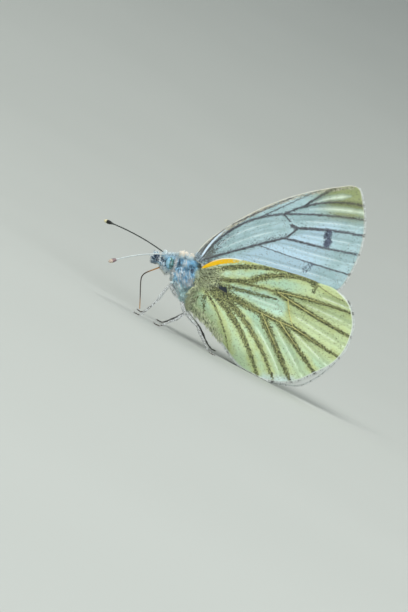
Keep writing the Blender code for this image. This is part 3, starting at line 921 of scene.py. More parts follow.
def lines_object(name, lines, **fields):
    """An object of separate lines of points (x, y, z, radius), all in millimetres."""
    verts, edges, lie, run = [], [], [], []
    for number, line in enumerate(lines):
        base = len(verts)
        verts.extend(line[:, :3].tolist())
        edges.extend((base + i, base + i + 1) for i in range(len(line) - 1))
        lie.append(unit(np.gradient(line[:, :3], axis=0)))
        run.append((number + np.linspace(0.05, 0.95, len(line))) / len(lines))
    piece = new_piece(name, verts, edges)
    put_values(piece, thick=np.concatenate(lines)[:, 3] * MM, run=np.concatenate(run), **fields)
    put_vectors(piece, lie=np.concatenate(lie))
    return piece


VEIN_TAPER = 0.55
VEINS_BRIGHTEST = (12.6, 0.2)
VEINS_DULL = 7.5        # and they are dull this far from there
LINE_STEP = 0.16


def wing_lines(wing, courses):
    """Lines that follow the wing's membrane, each given as its course and its radius at each end."""
    lines = []
    for course, start, end in courses:
        at = even_steps(course, LINE_STEP)
        radius = np.linspace(start, end, len(at))
        lines.append(np.stack([at[:, 0], wing.side * wing.depth(at), at[:, 1], radius], 1))
    at = np.concatenate(lines)
    away = np.hypot(at[:, 0] - VEINS_BRIGHTEST[0], at[:, 2] - VEINS_BRIGHTEST[1])
    return lines_object(wing.name + "_lines", lines, bright=1 - smooth(away, 1.0, VEINS_DULL))


tubes = tube_maker()


def dress_wing(wing, materials, extra, vein_material, fold_highlight_material, slot):
    """The membrane of one wing with its veins and folds."""
    membrane = wing.membrane(materials, extra)
    settle(membrane, slot, wing.name)
    veins = wing_lines(wing, [(line, vein.radius, vein.radius * VEIN_TAPER)
                              for vein, line in wing.veins if vein.radius])
    settle(tubes.make(wing.name + "_veins", veins, Sides=7, Material=vein_material), slot)
    drop(veins)
    loose = smooth(wing.fields(np.array([line[-1] for line in wing.folds]))["rim_gap"], 0.5, 1.5)
    folds = wing_lines(wing, [(line, 0.3 * FOLD_RADIUS, FOLD_RADIUS * (1 - 0.7 * free))
                              for line, free in zip(wing.folds, loose)])
    settle(tubes.make(wing.name + "_folds", folds, Sides=6, Material=fold_highlight_material), slot)
    drop(folds)
    return membrane


hind_under = hindwing_underside()
fore_under = forewing_underside()
fore_upper = upper_side("forewing_upper_side")
hind_upper = upper_side("hindwing_upper_side")
fore_vein = vein_finish("forewing_vein", (0.07, 0.07, 0.08), (0.26, 0.26, 0.30))
hind_vein = vein_finish("hindwing_vein", (0.10, 0.10, 0.04), (0.66, 0.62, 0.25))
# The fold tubes are pale as a painted highlight along each pleat
fore_fold_highlight = vein_finish("forewing_fold", (0.66, 0.78, 0.80), (0.84, 0.92, 0.92))
hind_fold_highlight = vein_finish("hindwing_fold", (0.72, 0.82, 0.70), (0.84, 0.91, 0.80))

membranes = {}
for label in SIDES:
    membranes["fore", label] = dress_wing(fore_wings[label], [fore_under, fore_upper], fore_extra, fore_vein,
                                          fore_fold_highlight, "forewing_scales")
    membranes["hind", label] = dress_wing(hind_wings[label], [hind_under, hind_upper], hind_extra, hind_vein,
                                          hind_fold_highlight, "hindwing_scales")


# ---------------------------------------------------------------------------- tufts

SWIRL = 0.35            # how far apart tufts turn their own way, where they clump

# Rings of a blade from root to tip: place, width, how far it bows outward, thickness
HAIR_RINGS = [(0.0, 0.8, 0.0, 0.04), (0.35, 1.0, 0.1, 0.05), (0.75, 0.6, 0.1, 0.03)]
SCALE_RINGS = [(0.0, 0.45, 0.0, 0.04), (0.4, 1.0, 0.06, 0.05), (0.85, 0.8, 0.04, 0.03)]


def blade(name, rings):
    """One closed blade of unit length and width along z, that bows towards x."""
    verts, faces, along = [], [], []
    for place, width, bow, thick in rings:
        verts += [(bow - thick, -width / 2, place), (bow - thick, width / 2, place), (bow + thick, 0, place)]
        along += [place] * 3
    last = len(verts) - 3
    verts.append((0.0, 0.0, 1.0))
    along.append(1.0)
    faces.append((0, 1, 2))
    for base in range(0, last, 3):
        faces += [(base + i, base + (i + 1) % 3, base + 3 + (i + 1) % 3, base + 3 + i) for i in range(3)]
    faces += [(last + i, last + (i + 1) % 3, last + 3) for i in range(3)]
    data = bpy.data.meshes.new(name)
    data.from_pydata(verts, [], faces)
    data.shade_smooth()
    piece = add_object(name, data)
    face_outward(piece)
    put_values(piece, along=along)
    patch = [(0.5 + v[1] * 0.9, v[2], 0.0) for v in verts]
    put_vectors(piece, patch=patch)
    return piece


def tuft_maker(scattered):
    """Blades that stand on a surface, or at each point, and follow its stored lie."""
    maker = Maker("tufts_over_a_surface" if scattered else "tufts_at_points")
    seed = maker.size("Seed", "NodeSocketInt")
    shape = maker.size("Blade", "NodeSocketObject")
    clump = maker.size("Clumping")
    stray = maker.size("Straying")
    if scattered:
        crowd = maker.read("crowd") * maker.size("Crowding")
        points = maker.node("GeometryNodeDistributePointsOnFaces", {}, {
            "Mesh": maker.geometry(), "Density": crowd, "Seed": seed})
        normal = maker.also(points, 1)
    else:
        points = maker.node("GeometryNodeMeshToPoints", {}, {"Mesh": maker.geometry()})
        normal = maker.read("facing", "FLOAT_VECTOR")
    at = maker.node("GeometryNodeInputPosition")
    swirl = maker.node("ShaderNodeTexNoise", {}, {"Vector": at, "Scale": 1 / (SWIRL * MM), "Detail": 1.0}, 1)
    swirl = maker.vector("SUBTRACT", swirl, (0.5, 0.5, 0.5))
    any_way = maker.node("FunctionNodeRandomValue", {"data_type": "FLOAT_VECTOR"},
                         {0: (-1, -1, -1), 1: (1, 1, 1), "Seed": seed * 10 + 1})
    way = maker.vector("ADD", maker.read("lie", "FLOAT_VECTOR"),
                       maker.scaled(normal, maker.read("rise")))
    way = maker.vector("ADD", way, maker.scaled(swirl, clump * 4))
    way = maker.vector("ADD", way, maker.scaled(any_way, stray))
    turn = maker.node("FunctionNodeAxesToRotation", {"primary_axis": "Z", "secondary_axis": "X"},
                      {0: way, 1: normal})
    length = maker.read("long") * maker.random(0.45, 1.3, seed, 2)
    width = maker.read("wide") * maker.random(0.7, 1.3, seed, 3)
    size = maker.node("ShaderNodeCombineXYZ", {}, {0: length, 1: width, 2: length})
    points = maker.store(points, "own", maker.random(0.0, 1.0, seed, 4))
    item = maker.node("GeometryNodeObjectInfo", {}, {"Object": shape}, out="Geometry")
    blades = maker.node("GeometryNodeInstanceOnPoints", {}, {
        "Points": points, "Instance": item, "Rotation": turn, "Scale": size})
    maker.finish(blades, patched=True)
    return maker


hair_blade = blade("hair_blade", HAIR_RINGS)
scale_blade = blade("scale_blade", SCALE_RINGS)
scatter = tuft_maker(True)
plant = tuft_maker(False)


def coat(name, source, slot, material, crowding, seed, shape, clump=0.5, stray=0.25):
    """A coat of tufts over a source, as a piece of its own."""
    piece = scatter.make(name, source, Seed=seed, Blade=shape, Clumping=clump, Straying=stray,
                         Crowding=crowding / MM ** 2, Material=material)
    return settle(piece, slot)


# ---------------------------------------------------------------------------- body skin

COAT_DEPTH = {"thorax": 0.38, "head": 0.16, "abdomen": 0.16, "palp_left": 0.13, "palp_right": 0.13}
NECK = (-2.98, -0.95)
# Flesh that joins the lengths of the body, on both sides where it lies off the middle: middle, half sizes
BRIDGES = [((NECK[0], 0.0, NECK[1]), (0.55, 0.5, 0.75)), ((WAIST[0], 0.0, WAIST[1]), (0.9, 0.75, 0.85)),
           ((-5.0, 0.3, -1.45), (0.3, 0.2, 0.22)), ((-1.6, 0.75, -3.1), (0.75, 0.45, 0.75)),
           ((-0.1, 0.65, -3.5), (0.7, 0.45, 0.8)), ((-4.85, 0.36, -0.45), (0.22, 0.2, 0.25)),
           ((-2.6, 0.0, -0.25), (0.55, 0.75, 0.8)), ((-1.55, 1.02, 0.3), (0.6, 0.4, 0.45)),
           ((-0.2, 1.0, -0.8), (0.7, 0.5, 0.7))]
VOXEL = 0.07
RELAX_ROUNDS = 8
# The middle line of the body in the side view, from the palps to the tail
SPINE = np.array([(-6.2, -1.3), (-5.0, -1.35), NECK, WAIST, (5.3, -4.5), (9.9, -6.6)])
ABDOMEN_WAY = (0.895, -0.445)   # the way that the abdomen runs back from the waist in the side view
EYE_LEVEL = -1.0        # height of the eyes' middle
EYE_LENGTH = 0.53
EYE_HEIGHT = 0.79
EYE_TILT = math.radians(-22)


def body_skin(material):
    """One skin over the head, thorax, abdomen and palps, drawn in by the depth of the coat."""
    whole = bmesh.new()
    for node, depth in COAT_DEPTH.items():
        part = bmesh.new()
        part.from_mesh(bpy.data.objects[node].data)
        bmesh.ops.remove_doubles(part, verts=part.verts, dist=1e-7)
        for vert in part.verts:
            vert.co = (vert.co - HINGE) / MM
        part.normal_update()
        inward = [vert.normal.copy() * depth for vert in part.verts]
        for vert, step in zip(part.verts, inward):
            vert.co -= step
        data = bpy.data.meshes.new(node + "_flesh")
        part.to_mesh(data)
        part.free()
        whole.from_mesh(data)
        bpy.data.meshes.remove(data)
    for (x, y, z), half in BRIDGES:
        for off_middle in ((y, -y) if y else (y,)):
            place = Matrix.Translation((x, off_middle, z)) @ Matrix.Diagonal((*half, 1.0))
            bmesh.ops.create_icosphere(whole, subdivisions=3, radius=1.0, matrix=place)
    data = bpy.data.meshes.new("body_skin")
    whole.to_mesh(data)
    whole.free()
    piece = add_object("body_skin", data)
    remesh = piece.modifiers.new("one_skin", "REMESH")
    remesh.mode = "VOXEL"
    remesh.voxel_size = VOXEL
    relax = piece.modifiers.new("relax", "SMOOTH")
    relax.factor = 0.5
    relax.iterations = RELAX_ROUNDS
    done = plain_mesh(piece)
    drop(piece)
    done.transform(Matrix.Translation(HINGE) @ Matrix.Scale(MM, 4))
    done.name = "body_skin"
    done.materials.clear()
    done.materials.append(material)
    done.shade_smooth()
    return add_object("body_skin", done)


def lay_round(piece, name, at):
    """A map that goes round the body and along it, cut along the underside."""
    _, run = nearest(at[:, [0, 2]], SPINE)
    angle = np.arctan2(at[:, 1], at[:, 2] - along(SPINE, run)[:, 1])
    corner = read_all(piece.data.loops, "vertex_index")
    starts, sizes = (read_all(piece.data.polygons, field) for field in ("loop_start", "loop_total"))
    first = np.repeat(angle[corner[starts]], sizes)
    own = angle[corner]
    own = own + 2 * math.pi * np.round((first - own) / (2 * math.pi))
    add_map(piece, name, np.stack([0.01 + 0.98 * run[corner], 0.5 + own / (2.4 * math.pi)], 1))


def near_line(at, line, reach):
    """1 near a line in the side view, fading to 0 at the given reach."""
    gap, _ = nearest(at[:, [0, 2]], line)
    return 1 - smooth(gap, reach * 0.45, reach)


# Short light and dark locks lie scattered over areas of the body's side: whether they are light, how
# many, the area's middle and half sizes, the heading in degrees, and their length and half width
LockArea = namedtuple("LockArea", "light number middle half heading long wide")

LOCK_AREAS = {
    "shade behind the eye": LockArea(False, 5, (-3.2, -0.6), (0.1, 0.5), -66, 0.7, 0.09),
    "collar": LockArea(True, 12, (-3.15, -1.2), (0.1, 0.9), -66, 1.0, 0.12),
    "neck": LockArea(False, 8, (-2.7, -0.7), (0.25, 0.6), -62, 0.6, 0.08),
    "shoulder": LockArea(True, 9, (-2.0, -0.3), (0.4, 0.6), -70, 0.6, 0.09),
    # painted shadow: dark locks where the wing's root shades the thorax below it
    "painted shadow under the wing root": LockArea(False, 10, (-1.0, -0.35), (0.45, 0.35), -40, 0.5, 0.1),
    "side, light": LockArea(True, 44, (-1.3, -1.8), (1.2, 1.1), -62, 0.6, 0.09),
    "side, dark": LockArea(False, 18, (-1.4, -2.2), (1.3, 1.3), -58, 0.45, 0.055),
    "waist": LockArea(False, 12, (0.3, -2.5), (0.9, 0.5), 35, 0.6, 0.08),
    "above the waist": LockArea(True, 10, (0.0, -2.0), (0.8, 0.4), 30, 0.5, 0.07),
    "chest, light": LockArea(True, 16, (-1.7, -3.5), (0.9, 0.6), -45, 0.6, 0.08),
    "chest, dark": LockArea(False, 10, (-2.1, -3.4), (0.9, 0.3), -35, 0.7, 0.06),
    "crest": LockArea(False, 3, (-2.1, 0.6), (0.7, 0.2), 80, 0.35, 0.04),
    "face, dark": LockArea(False, 10, (-4.6, -1.5), (0.5, 0.5), -130, 0.4, 0.06),
    "face, light": LockArea(True, 8, (-4.5, -1.7), (0.5, 0.4), -125, 0.4, 0.06),
    "palps, dark": LockArea(False, 14, (-5.2, -1.2), (0.6, 0.35), 150, 0.6, 0.07),
    "palps, light": LockArea(True, 7, (-5.2, -1.3), (0.6, 0.3), 155, 0.5, 0.05),
}
LOCK_TURN = 16          # the spread of the locks' headings, in degrees
LOCK_SEED = 5


def make_locks():
    """The ends, half width and strength of each light and each dark lock."""
    chance = np.random.default_rng(LOCK_SEED)
    locks = {True: [], False: []}
    for area in LOCK_AREAS.values():
        for _ in range(area.number):
            away, turn = math.sqrt(chance.uniform()), chance.uniform(0, 2 * math.pi)
            middle = np.array(area.middle) + np.array(area.half) * away * direction(turn)
            heading = math.radians(area.heading + chance.normal(0, LOCK_TURN))
            reach = 0.5 * area.long * chance.uniform(0.6, 1.3) * direction(heading)
            locks[area.light].append((np.array([middle - reach, middle + reach]),
                                      area.wide * chance.uniform(0.7, 1.3), chance.uniform(0.5, 1.0)))
    return locks


LOCKS = make_locks()


def lock_strength(flat, light):
    """How strongly the light or the dark locks mark each place."""
    seen = np.zeros(len(flat))
    for course, half, strength in LOCKS[light]:
        near = np.flatnonzero(np.hypot(*(flat - course.mean(0)).T) < half + math.dist(*course))
        gap, _ = nearest(flat[near], course)
        seen[near] = np.maximum(seen[near], strength * (1 - smooth(gap, 0.4 * half, half)))
    return seen


COLLAR = 1.6            # the collar stands out round the eye at this distance from its middle, with
COLLAR_BEHIND = 2.05    # the eye's own edge as 1, and the hair behind it is short


def band(value, middle, half):
    """1 where the value is near the middle of a band, fading to 0 at its edges."""
    return 1 - smooth(np.abs(value - middle), 0.4 * half, half)


def eye_distance(at):
    """Distance from the middle of the eye in the side view, with the eye's own edge as 1."""
    ahead, level = at[:, 0] + EYE_AHEAD, at[:, 2] - EYE_LEVEL
    return np.hypot((ahead * math.cos(EYE_TILT) - level * math.sin(EYE_TILT)) / EYE_LENGTH,
                    (ahead * math.sin(EYE_TILT) + level * math.cos(EYE_TILT)) / EYE_HEIGHT)


def behind_waist(at):
    """How far each place lies behind the narrow waist, along the abdomen."""
    return (at[:, 0] - WAIST[0]) * ABDOMEN_WAY[0] + (at[:, 2] - WAIST[1]) * ABDOMEN_WAY[1]


def marks(at):
    """The white and dark marks at each place, which a hair that crosses them shows along its length."""
    flat = at[:, [0, 2]]
    seen = smooth(-behind_waist(at), -0.3, 0.15) * smooth(eye_distance(at), 0.95, 1.1)
    return dict(white=lock_strength(flat, True) * seen, dark=lock_strength(flat, False) * seen)


def body_fields(at, facing):
    """Lie, length and colours of the coat at each point of the skin."""
    x, y, z = at.T
    out = np.abs(y)
    hand = np.sign(y)
    neck_line = x + 0.35 * (z - NECK[1]) - NECK[0]
    head = 1 - smooth(neck_line, -0.1, 0.1)
    behind = behind_waist(at)
    abdomen = smooth(behind, -0.15, 0.3)
    thorax = (1 - head) * (1 - abdomen)
    top = smooth(facing[:, 2], 0.35, 0.85)
    palp = head * smooth(-x, 5.15, 5.3)
    face = head * smooth(-x, 4.3, 4.9)
    eye_gap, behind_eye = eye_distance(at), smooth(x + EYE_AHEAD, 0.0, 0.3)
    round_eye = head * (1 - smooth(eye_gap, 1.0, 1.5)) * smooth(out, 0.25, 0.35)
    under_eye = head * (1 - smooth(eye_gap, 0.8, 0.95)) * smooth(out, 0.2, 0.3)
    under = smooth(-facing[:, 2], 0.2, 0.8)
    wing_seat = near_line(at, WING_SEAT, 0.8) * smooth(out, 0.8, 1.1)
    saddle = thorax * smooth(z - 0.4 * (x + 3.18), -0.12, 0.12) * (1 - smooth(x, -1.25, -0.75))
    chest = thorax * smooth(-z, 2.2, 3.0)
    moss = thorax * smooth(x + 0.53 * z + 0.73, -0.15, 0.25) * smooth(z, -2.3, -1.5)
    ring = band(eye_gap, COLLAR, 0.5) * behind_eye * head
    shoulder = band(eye_gap, COLLAR_BEHIND, 0.6) * behind_eye * thorax
    belt = near_line(at, BELT, 0.6) * thorax

    lie = (toward(thorax, 0.45 + 0.3 * (z < -1.5), 0.15 * hand, -0.9)
           + toward(thorax * top, 0.1, 0.1 * hand, 1.0) + toward(3 * saddle, -0.1, 0.1 * hand, 1.0)
           + toward(2 * belt, 0.9, 0.1 * hand, 0.3)
           + toward(head * (1 - face), 0.35, 0.0, -0.9) + toward(face * (1 - palp), -0.6, 0.0, -0.75)
           + toward(head * top, -0.1, 0.0, 1.6) + toward(abdomen, 0.9, 0.0, -0.45))
    lie = lie - facing * (lie * facing).sum(1)[:, None]
    lie = unit(unit(lie) + toward(palp * 3, -1.0, 0.12 * hand, 0.15))

    long = 0.7 * thorax + 0.36 * head + 0.36 * abdomen - 0.3 * shoulder
    long = long + 0.05 * saddle - 0.25 * thorax * wing_seat + 0.15 * abdomen * (1 - smooth(behind, 0.0, 2.0))
    long = long - 0.22 * round_eye * (1 - ring) + 0.42 * palp + 0.2 * head * top + 0.15 * ring
    wide = 0.04 * thorax + 0.032 * head + 0.085 * abdomen - 0.006 * palp
    rise = 0.25 * thorax + 0.4 * head + 0.12 * abdomen + 0.9 * saddle + 0.25 * palp + 0.6 * ring
    crowd = (thorax + 1.4 * head + 0.8 * abdomen) * (1 - under_eye)

    cheek = head * np.maximum(top * 0.6, under * 0.8 + 0.6 * smooth(-z, 1.5, 2.0)) * (1 - 0.6 * palp)
    pale = 0.92 * thorax + 0.75 * head + 0.85 * abdomen - 0.6 * palp
    pale = pale + 0.6 * saddle - 0.05 * cheek - 0.05 * chest - 0.15 * moss
    return dict(
        fields=dict(long=long * MM, wide=wide * MM, rise=rise, crowd=crowd, pale=np.clip(pale, -0.3, 1.3),
                    cream=np.clip(saddle + 0.45 * cheek, 0, 1), **marks(at),
                    blue=np.clip(thorax * (1 - 0.5 * chest) + 0.7 * head - 0.5 * cheek, 0, 1),
                    moss=np.clip(moss, 0, 1), teal=thorax * smooth(-z, 1.8, 3.2),
                    head=head, thorax=thorax, abdomen=abdomen),
        lie=lie, crowd=crowd)


def body_colour(finish):
    """The markings that skin and coat share."""
    cream, blue, white = finish.field("cream"), finish.field("blue"), finish.field("white")
    pale = finish.field("pale") + white * 0.7 - finish.field("dark") * (1 - white) * 1.1
    grain = finish.noise(0.19, 2.0, stretch=(1.0, 1.0, 0.4))
    light = finish.mix(blue, (0.92, 0.96, 0.92), (0.36, 0.74, 1.0))
    light = finish.mix(finish.field("teal") * 0.7, light, (0.62, 0.88, 0.84))
    light = finish.mix((grain - 0.5).step(0.02, 0.2) * 0.45, light, (1.0, 1.0, 1.0))
    light = finish.mix(cream, light, (1.0, 0.93, 0.80))
    light = finish.mix(white, light, (1.0, 1.0, 1.0))
    light = finish.mix(finish.field("moss"), light, (0.64, 0.72, 0.56))
    dark = (0.02, 0.06, 0.14)
    return pale, grain, light, dark


def body_skin_finish():
    finish = Finish("body_skin", Roughness=0.7, Specular_IOR_Level=0.3)
    pale, grain, light, dark = body_colour(finish)
    finish.link(Base_Color=finish.mix((pale * 0.9 + grain.around(0.4)).clamped(), dark, light))
    return finish.bump(finish.noise(0.08, 2.0), 0.03, 0.5).material


def coat_finish(name):
    finish = Finish(name, Roughness=0.6, Specular_IOR_Level=0.3, Sheen_Weight=0.4)
    pale, grain, light, dark = body_colour(finish)
    own, along = finish.field("own"), finish.field("along")
    share = pale + own.around(0.5) + grain.around(2.8) + (along - 0.4) * 0.3
    finish.link(Base_Color=finish.mix(share.step(0.15, 0.5), dark, light))
    return finish.bump(finish.noise(0.03, 1.0), 0.005, 0.4).material


skin = body_skin(body_skin_finish())
at, facing = places_of(skin)
body = body_fields(at, facing)
put_values(skin, **body["fields"])
put_vectors(skin, lie=body["lie"])
lay_round(skin, "home", at)
settle(skin, "body_hair", "head", "thorax", "abdomen", "palp_left", "palp_right")

coat_material = coat_finish("body_coat")


for region, crowding, shape in (("head", 500, hair_blade), ("thorax", 450, hair_blade),
                                ("abdomen", 160, scale_blade)):
    for number, (label, side) in enumerate(SIDES.items()):
        half = smooth(at[:, 1] * side, -0.02, 0.02)
        put_values(skin, crowd=body["crowd"] * body["fields"][region] * half)
        hairs = coat(region + "_coat_" + label, skin, "body_hair", coat_material, crowding, number + 1, shape)
        put_values(hairs, **marks(places_of(hairs)[0]))


# ---------------------------------------------------------------------------- studio

ROLL = math.radians(28)         # the picture shows the floor turned by this much
ELEVATION = math.radians(3)     # the camera looks down a little
CAMERA_DISTANCE = 0.30          # in metres
PICTURE_HEIGHT = 79.0           # millimetres of the butterfly's plane that the picture's height takes in
SENSOR = 36.0
FLAT_RADIUS = 0.05              # the floor is flat this far out, in metres, and then rises in a wide dish
DISH_RADIUS = 2.0
VIEW_CENTRE = (2.63, -3.86)     # the middle of the picture, from the hinge


def studio():
    """A pale floor that rises into a wide dish, under three soft lights."""
    finish = Finish("studio_paper", Roughness=0.9, Specular_IOR_Level=0.1)
    finish.link(Base_Color=finish.mix(finish.noise(60, 1.0), (0.45, 0.475, 0.45), (0.475, 0.50, 0.475)))
    slope = np.linspace(0, math.pi / 2.6, 41)
    reach = FLAT_RADIUS + DISH_RADIUS * np.sin(slope)
    rise = DISH_RADIUS * (1 - np.cos(slope))
    mesh = bmesh.new()
    round_it = np.linspace(0, 2 * math.pi, 96, False)
    rings = [[mesh.verts.new((r * math.cos(a), r * math.sin(a), z)) for a in round_it]
             for r, z in zip(reach, rise)]
    mesh.faces.new(rings[0])
    for a, b in zip(rings, rings[1:]):
        for i in range(len(a)):
            mesh.faces.new((a[i - 1], b[i - 1], b[i], a[i]))
    data = bpy.data.meshes.new("studio_floor")
    mesh.to_mesh(data)
    mesh.free()
    data.materials.append(finish.material)
    data.shade_smooth()
    add_object("studio_floor", data)

    for name, place, size, power, colour in (
            ("key_light", (-0.22, -0.28, 0.62), 0.35, 3.4, (1.0, 0.99, 0.96)),
            ("fill_light", (0.35, -0.6, 0.2), 0.5, 3.4, (0.95, 0.98, 1.0)),
            ("back_light", (0.2, 0.35, 0.6), 0.4, 1.8, (1.0, 1.0, 0.96))):
        lamp = bpy.data.lights.new(name, "AREA")
        lamp.size = size
        lamp.energy = power
        lamp.color = colour
        holder = add_object(name, lamp)
        holder.location = place
        holder.rotation_euler = (HINGE - Vector(place)).to_track_quat("-Z", "Y").to_euler()

    world = bpy.data.worlds.new("studio_air")
    world.use_nodes = True
    world.node_tree.nodes["Background"].inputs["Color"].default_value = (0.8, 0.86, 0.9, 1.0)
    world.node_tree.nodes["Background"].inputs["Strength"].default_value = 0.4
    bpy.context.scene.world = world
    bpy.context.scene.view_settings.view_transform = "Standard"


def camera():
    """A long lens at the butterfly's left side, rolled so that its body slopes as it does on a flower."""
    lens = bpy.data.cameras.new("camera")
    lens.sensor_width = SENSOR
    lens.lens = SENSOR * CAMERA_DISTANCE / (PICTURE_HEIGHT * MM)
    lens.clip_start = 0.01
    holder = add_object("camera", lens)
    ahead = Vector((0.0, math.cos(ELEVATION), -math.sin(ELEVATION)))
    level = Vector((1.0, 0.0, 0.0))
    up = level.cross(ahead)
    right = level * math.cos(ROLL) + up * math.sin(ROLL)
    rise = up * math.cos(ROLL) - level * math.sin(ROLL)
    target = Vector(stand([(VIEW_CENTRE[0], 0.0, VIEW_CENTRE[1])])[0])
    turn = Matrix((right, rise, -ahead)).transposed().to_4x4()
    holder.matrix_world = Matrix.Translation(target - ahead * CAMERA_DISTANCE) @ turn
    bpy.context.scene.camera = holder


# ---------------------------------------------------------------------------- hair and fringes of the wings

def hair_finish(name, dark, light):
    """Hair in which pale and dark strands mix."""
    finish = Finish(name, **TUFTS)
    own, along = finish.field("own"), finish.field("along")
    share = own * 0.9 + finish.field("pale") + finish.noise(0.2, 2.0).around(1.6) + along.around(0.3)
    finish.link(Base_Color=finish.mix(share.step(0.55, 1.05), dark, light))
    return finish.bump(finish.noise(0.03, 1.0), 0.004, 0.3).material


def wing_hair(wing, membrane, fields, slot, material, crowding):
    """Long hair over the root of a wing's lower side."""
    at, _ = places_of(membrane)
    flat = wing.flat_place(at[:, [0, 2]])
    home = np.column_stack([flat, np.zeros(len(at))])
    values = fields(at)
    outside = np.arange(len(at)) < len(at) // 2
    put_values(membrane, crowd=values["crowd"] * outside, long=values["long"] * MM, wide=values["wide"] * MM,
               rise=values["rise"], pale=values["pale"])
    put_vectors(membrane, lie=unit(values["lie"] * (1, wing.side, 1)), home=home)
    return coat(wing.name + "_hair", membrane, slot, material, crowding, 11, hair_blade, 0.35, 0.3)


def fore_hair(at):
    """Hair of the forewing: it runs outward from the hinge and along the front edge."""
    away = np.hypot(at[:, 0] + 1.2, at[:, 2] - 0.8)
    crowd = 1 - smooth(away, 0.3, 1.3)
    return dict(crowd=crowd, long=0.5 - 0.2 * smooth(away, 0.5, 1.3), wide=0.03,
                rise=0.15, lie=toward(np.ones(len(at)), 0.5, 0.15, 0.85), pale=0.55)


def hind_hair(at):
    """Hair of the hindwing: thick at the root, and thin and long down the inner edge."""
    away = np.hypot((at[:, 0] - 0.3) * 0.75, (at[:, 2] - 0.0) * 0.8)
    streak, _ = nearest(at[:, [0, 2]], ORANGE_STREAK)
    root = (1 - smooth(away, 0.4, 2.3)) * smooth(streak, 0.35, 0.7)
    inner, _ = nearest(at[:, [0, 2]], INNER_RIM)
    inner = 1 - smooth(inner, 0.1, 1.3)
    down = smooth(-at[:, 2], 0.5, 2.0)
    belt, _ = nearest(at[:, [0, 2]], BELT)
    belt = (1 - smooth(belt, 0.1, 0.4)) * smooth(streak, 0.35, 0.7)
    edge, _ = nearest(at[:, [0, 2]], HIND_EDGES["inner root"])
    edge = 1 - smooth(edge, 0.15, 0.7)
    lie = (toward(1, 0.9 - 0.35 * down, 0.2, -0.2 - 0.65 * down) + toward(3 * belt, 0.9, 0.1, 0.4)
           + toward(2 * edge, -0.8, 0.1, -0.5))
    return dict(crowd=np.maximum(np.maximum(0.6 * root, 0.4 * inner), np.maximum(belt, 0.9 * edge)),
                long=0.3 + 0.35 * inner + 0.3 * belt + 0.1 * edge,
                wide=0.034, rise=0.12, lie=lie, pale=0.4 + 0.3 * down)


FRINGE_LONG = 0.27
FRINGE_LEAST = 0.06     # shorter scales than this are left out
FRINGE_WIDE = 0.06
FRINGE_STEP = 0.035
FRINGE_ROOT = 0.05      # how far inside the rim the scales start
FRINGE_ROOM = 0.03      # and how far above the floor their tips end


def fringe(wing, slot, material):
    """A fringe of long scales in the plane of the wing, round its outer edge."""
    rim = even_steps(wing.rim, FRINGE_STEP, closed=True)
    ahead = np.roll(rim, -3, axis=0) - np.roll(rim, 3, axis=0)
    turn = np.sign((rim[:, 0] * np.roll(rim[:, 1], -1) - np.roll(rim[:, 0], -1) * rim[:, 1]).sum())
    out = unit(np.column_stack([ahead[:, 1], -ahead[:, 0]])) * turn
    far = smooth(np.hypot(rim[:, 0] + 0.5, rim[:, 1]), 5.0, 12.0)
    long = FRINGE_LONG * far * smooth(out[:, 0] - 0.5 * out[:, 1], -0.55, 0.1)
    keep = long > FRINGE_LEAST
    rim, out, long = rim[keep], out[keep], long[keep]
    lowest = (FRINGE_ROOM - HINGE_HEIGHT - rim[:, 1]) / (1.3 * long)
    drop_by = np.maximum(lowest - out[:, 1], 0)
    lie = np.column_stack([out[:, 0], 0.7 * wing.side * drop_by, np.maximum(out[:, 1], lowest)])
    root = rim - FRINGE_ROOT * out
    verts = np.column_stack([root[:, 0], wing.side * wing.depth(rim), root[:, 1]])
    source = new_piece("fringe_points", verts)
    vein_end = 1 - smooth(wing.fields(rim)["vein_gap"], 0.1, 0.32)
    put_values(source, long=long * MM, wide=FRINGE_WIDE * MM, rise=0.0, pale=0.7 - 0.65 * vein_end)
    put_vectors(source, lie=unit(lie), facing=np.tile([0.0, wing.side, 0.0], (len(rim), 1)),
                home=np.column_stack([wing.flat_place(rim), np.zeros(len(rim))]))
    piece = plant.make(wing.name + "_fringe", source, Seed=3, Blade=scale_blade, Clumping=0.12, Straying=0.14,
                       Material=material)
    drop(source)
    settle(piece, slot)


fore_hair_material = hair_finish("forewing_hair", (0.10, 0.13, 0.15), (0.72, 0.86, 0.94))
hind_hair_material = hair_finish("hindwing_hair", (0.10, 0.13, 0.065), (0.80, 0.86, 0.60))
fringe_material = hair_finish("wing_fringe", (0.18, 0.19, 0.17), (0.76, 0.80, 0.78))
for label in SIDES:
    wing_hair(fore_wings[label], membranes["fore", label], fore_hair, "forewing_scales",
              fore_hair_material, 220)
    wing_hair(hind_wings[label], membranes["hind", label], hind_hair, "hindwing_scales",
              hind_hair_material, 260)
    fringe(fore_wings[label], "forewing_scales", fringe_material)
    fringe(hind_wings[label], "hindwing_scales", fringe_material)


# ---------------------------------------------------------------------------- eyes

EYE_FLAT = 0.5          # the eye swells out from this far beside the middle of the head
EYE_DEPTH = 0.6
FACET_LIFT = 0.012


def eye_finish():
    finish = Finish("eye_facets", Roughness=0.22, Specular_IOR_Level=0.6, Coat_Weight=0.5,
                    Coat_Roughness=0.12)
    rear, speck, joint = finish.field("rear"), finish.noise(0.16, 1.0), finish.field("joint")
    cloud = finish.noise(0.5, 1.0)
    pale = finish.mix(cloud.step(0.3, 0.7), (0.22, 0.56, 0.86), (0.46, 0.80, 1.0))
    dark = finish.mix(speck.step(0.45, 0.6), (0.012, 0.045, 0.045), (0.20, 0.44, 0.44))
    colour = finish.mix((rear + speck.around(1.6)).step(0.3, 0.6), pale, dark)
    finish.link(Base_Color=finish.mix(joint * 0.35, colour, (0.05, 0.10, 0.10)))
    return finish.material


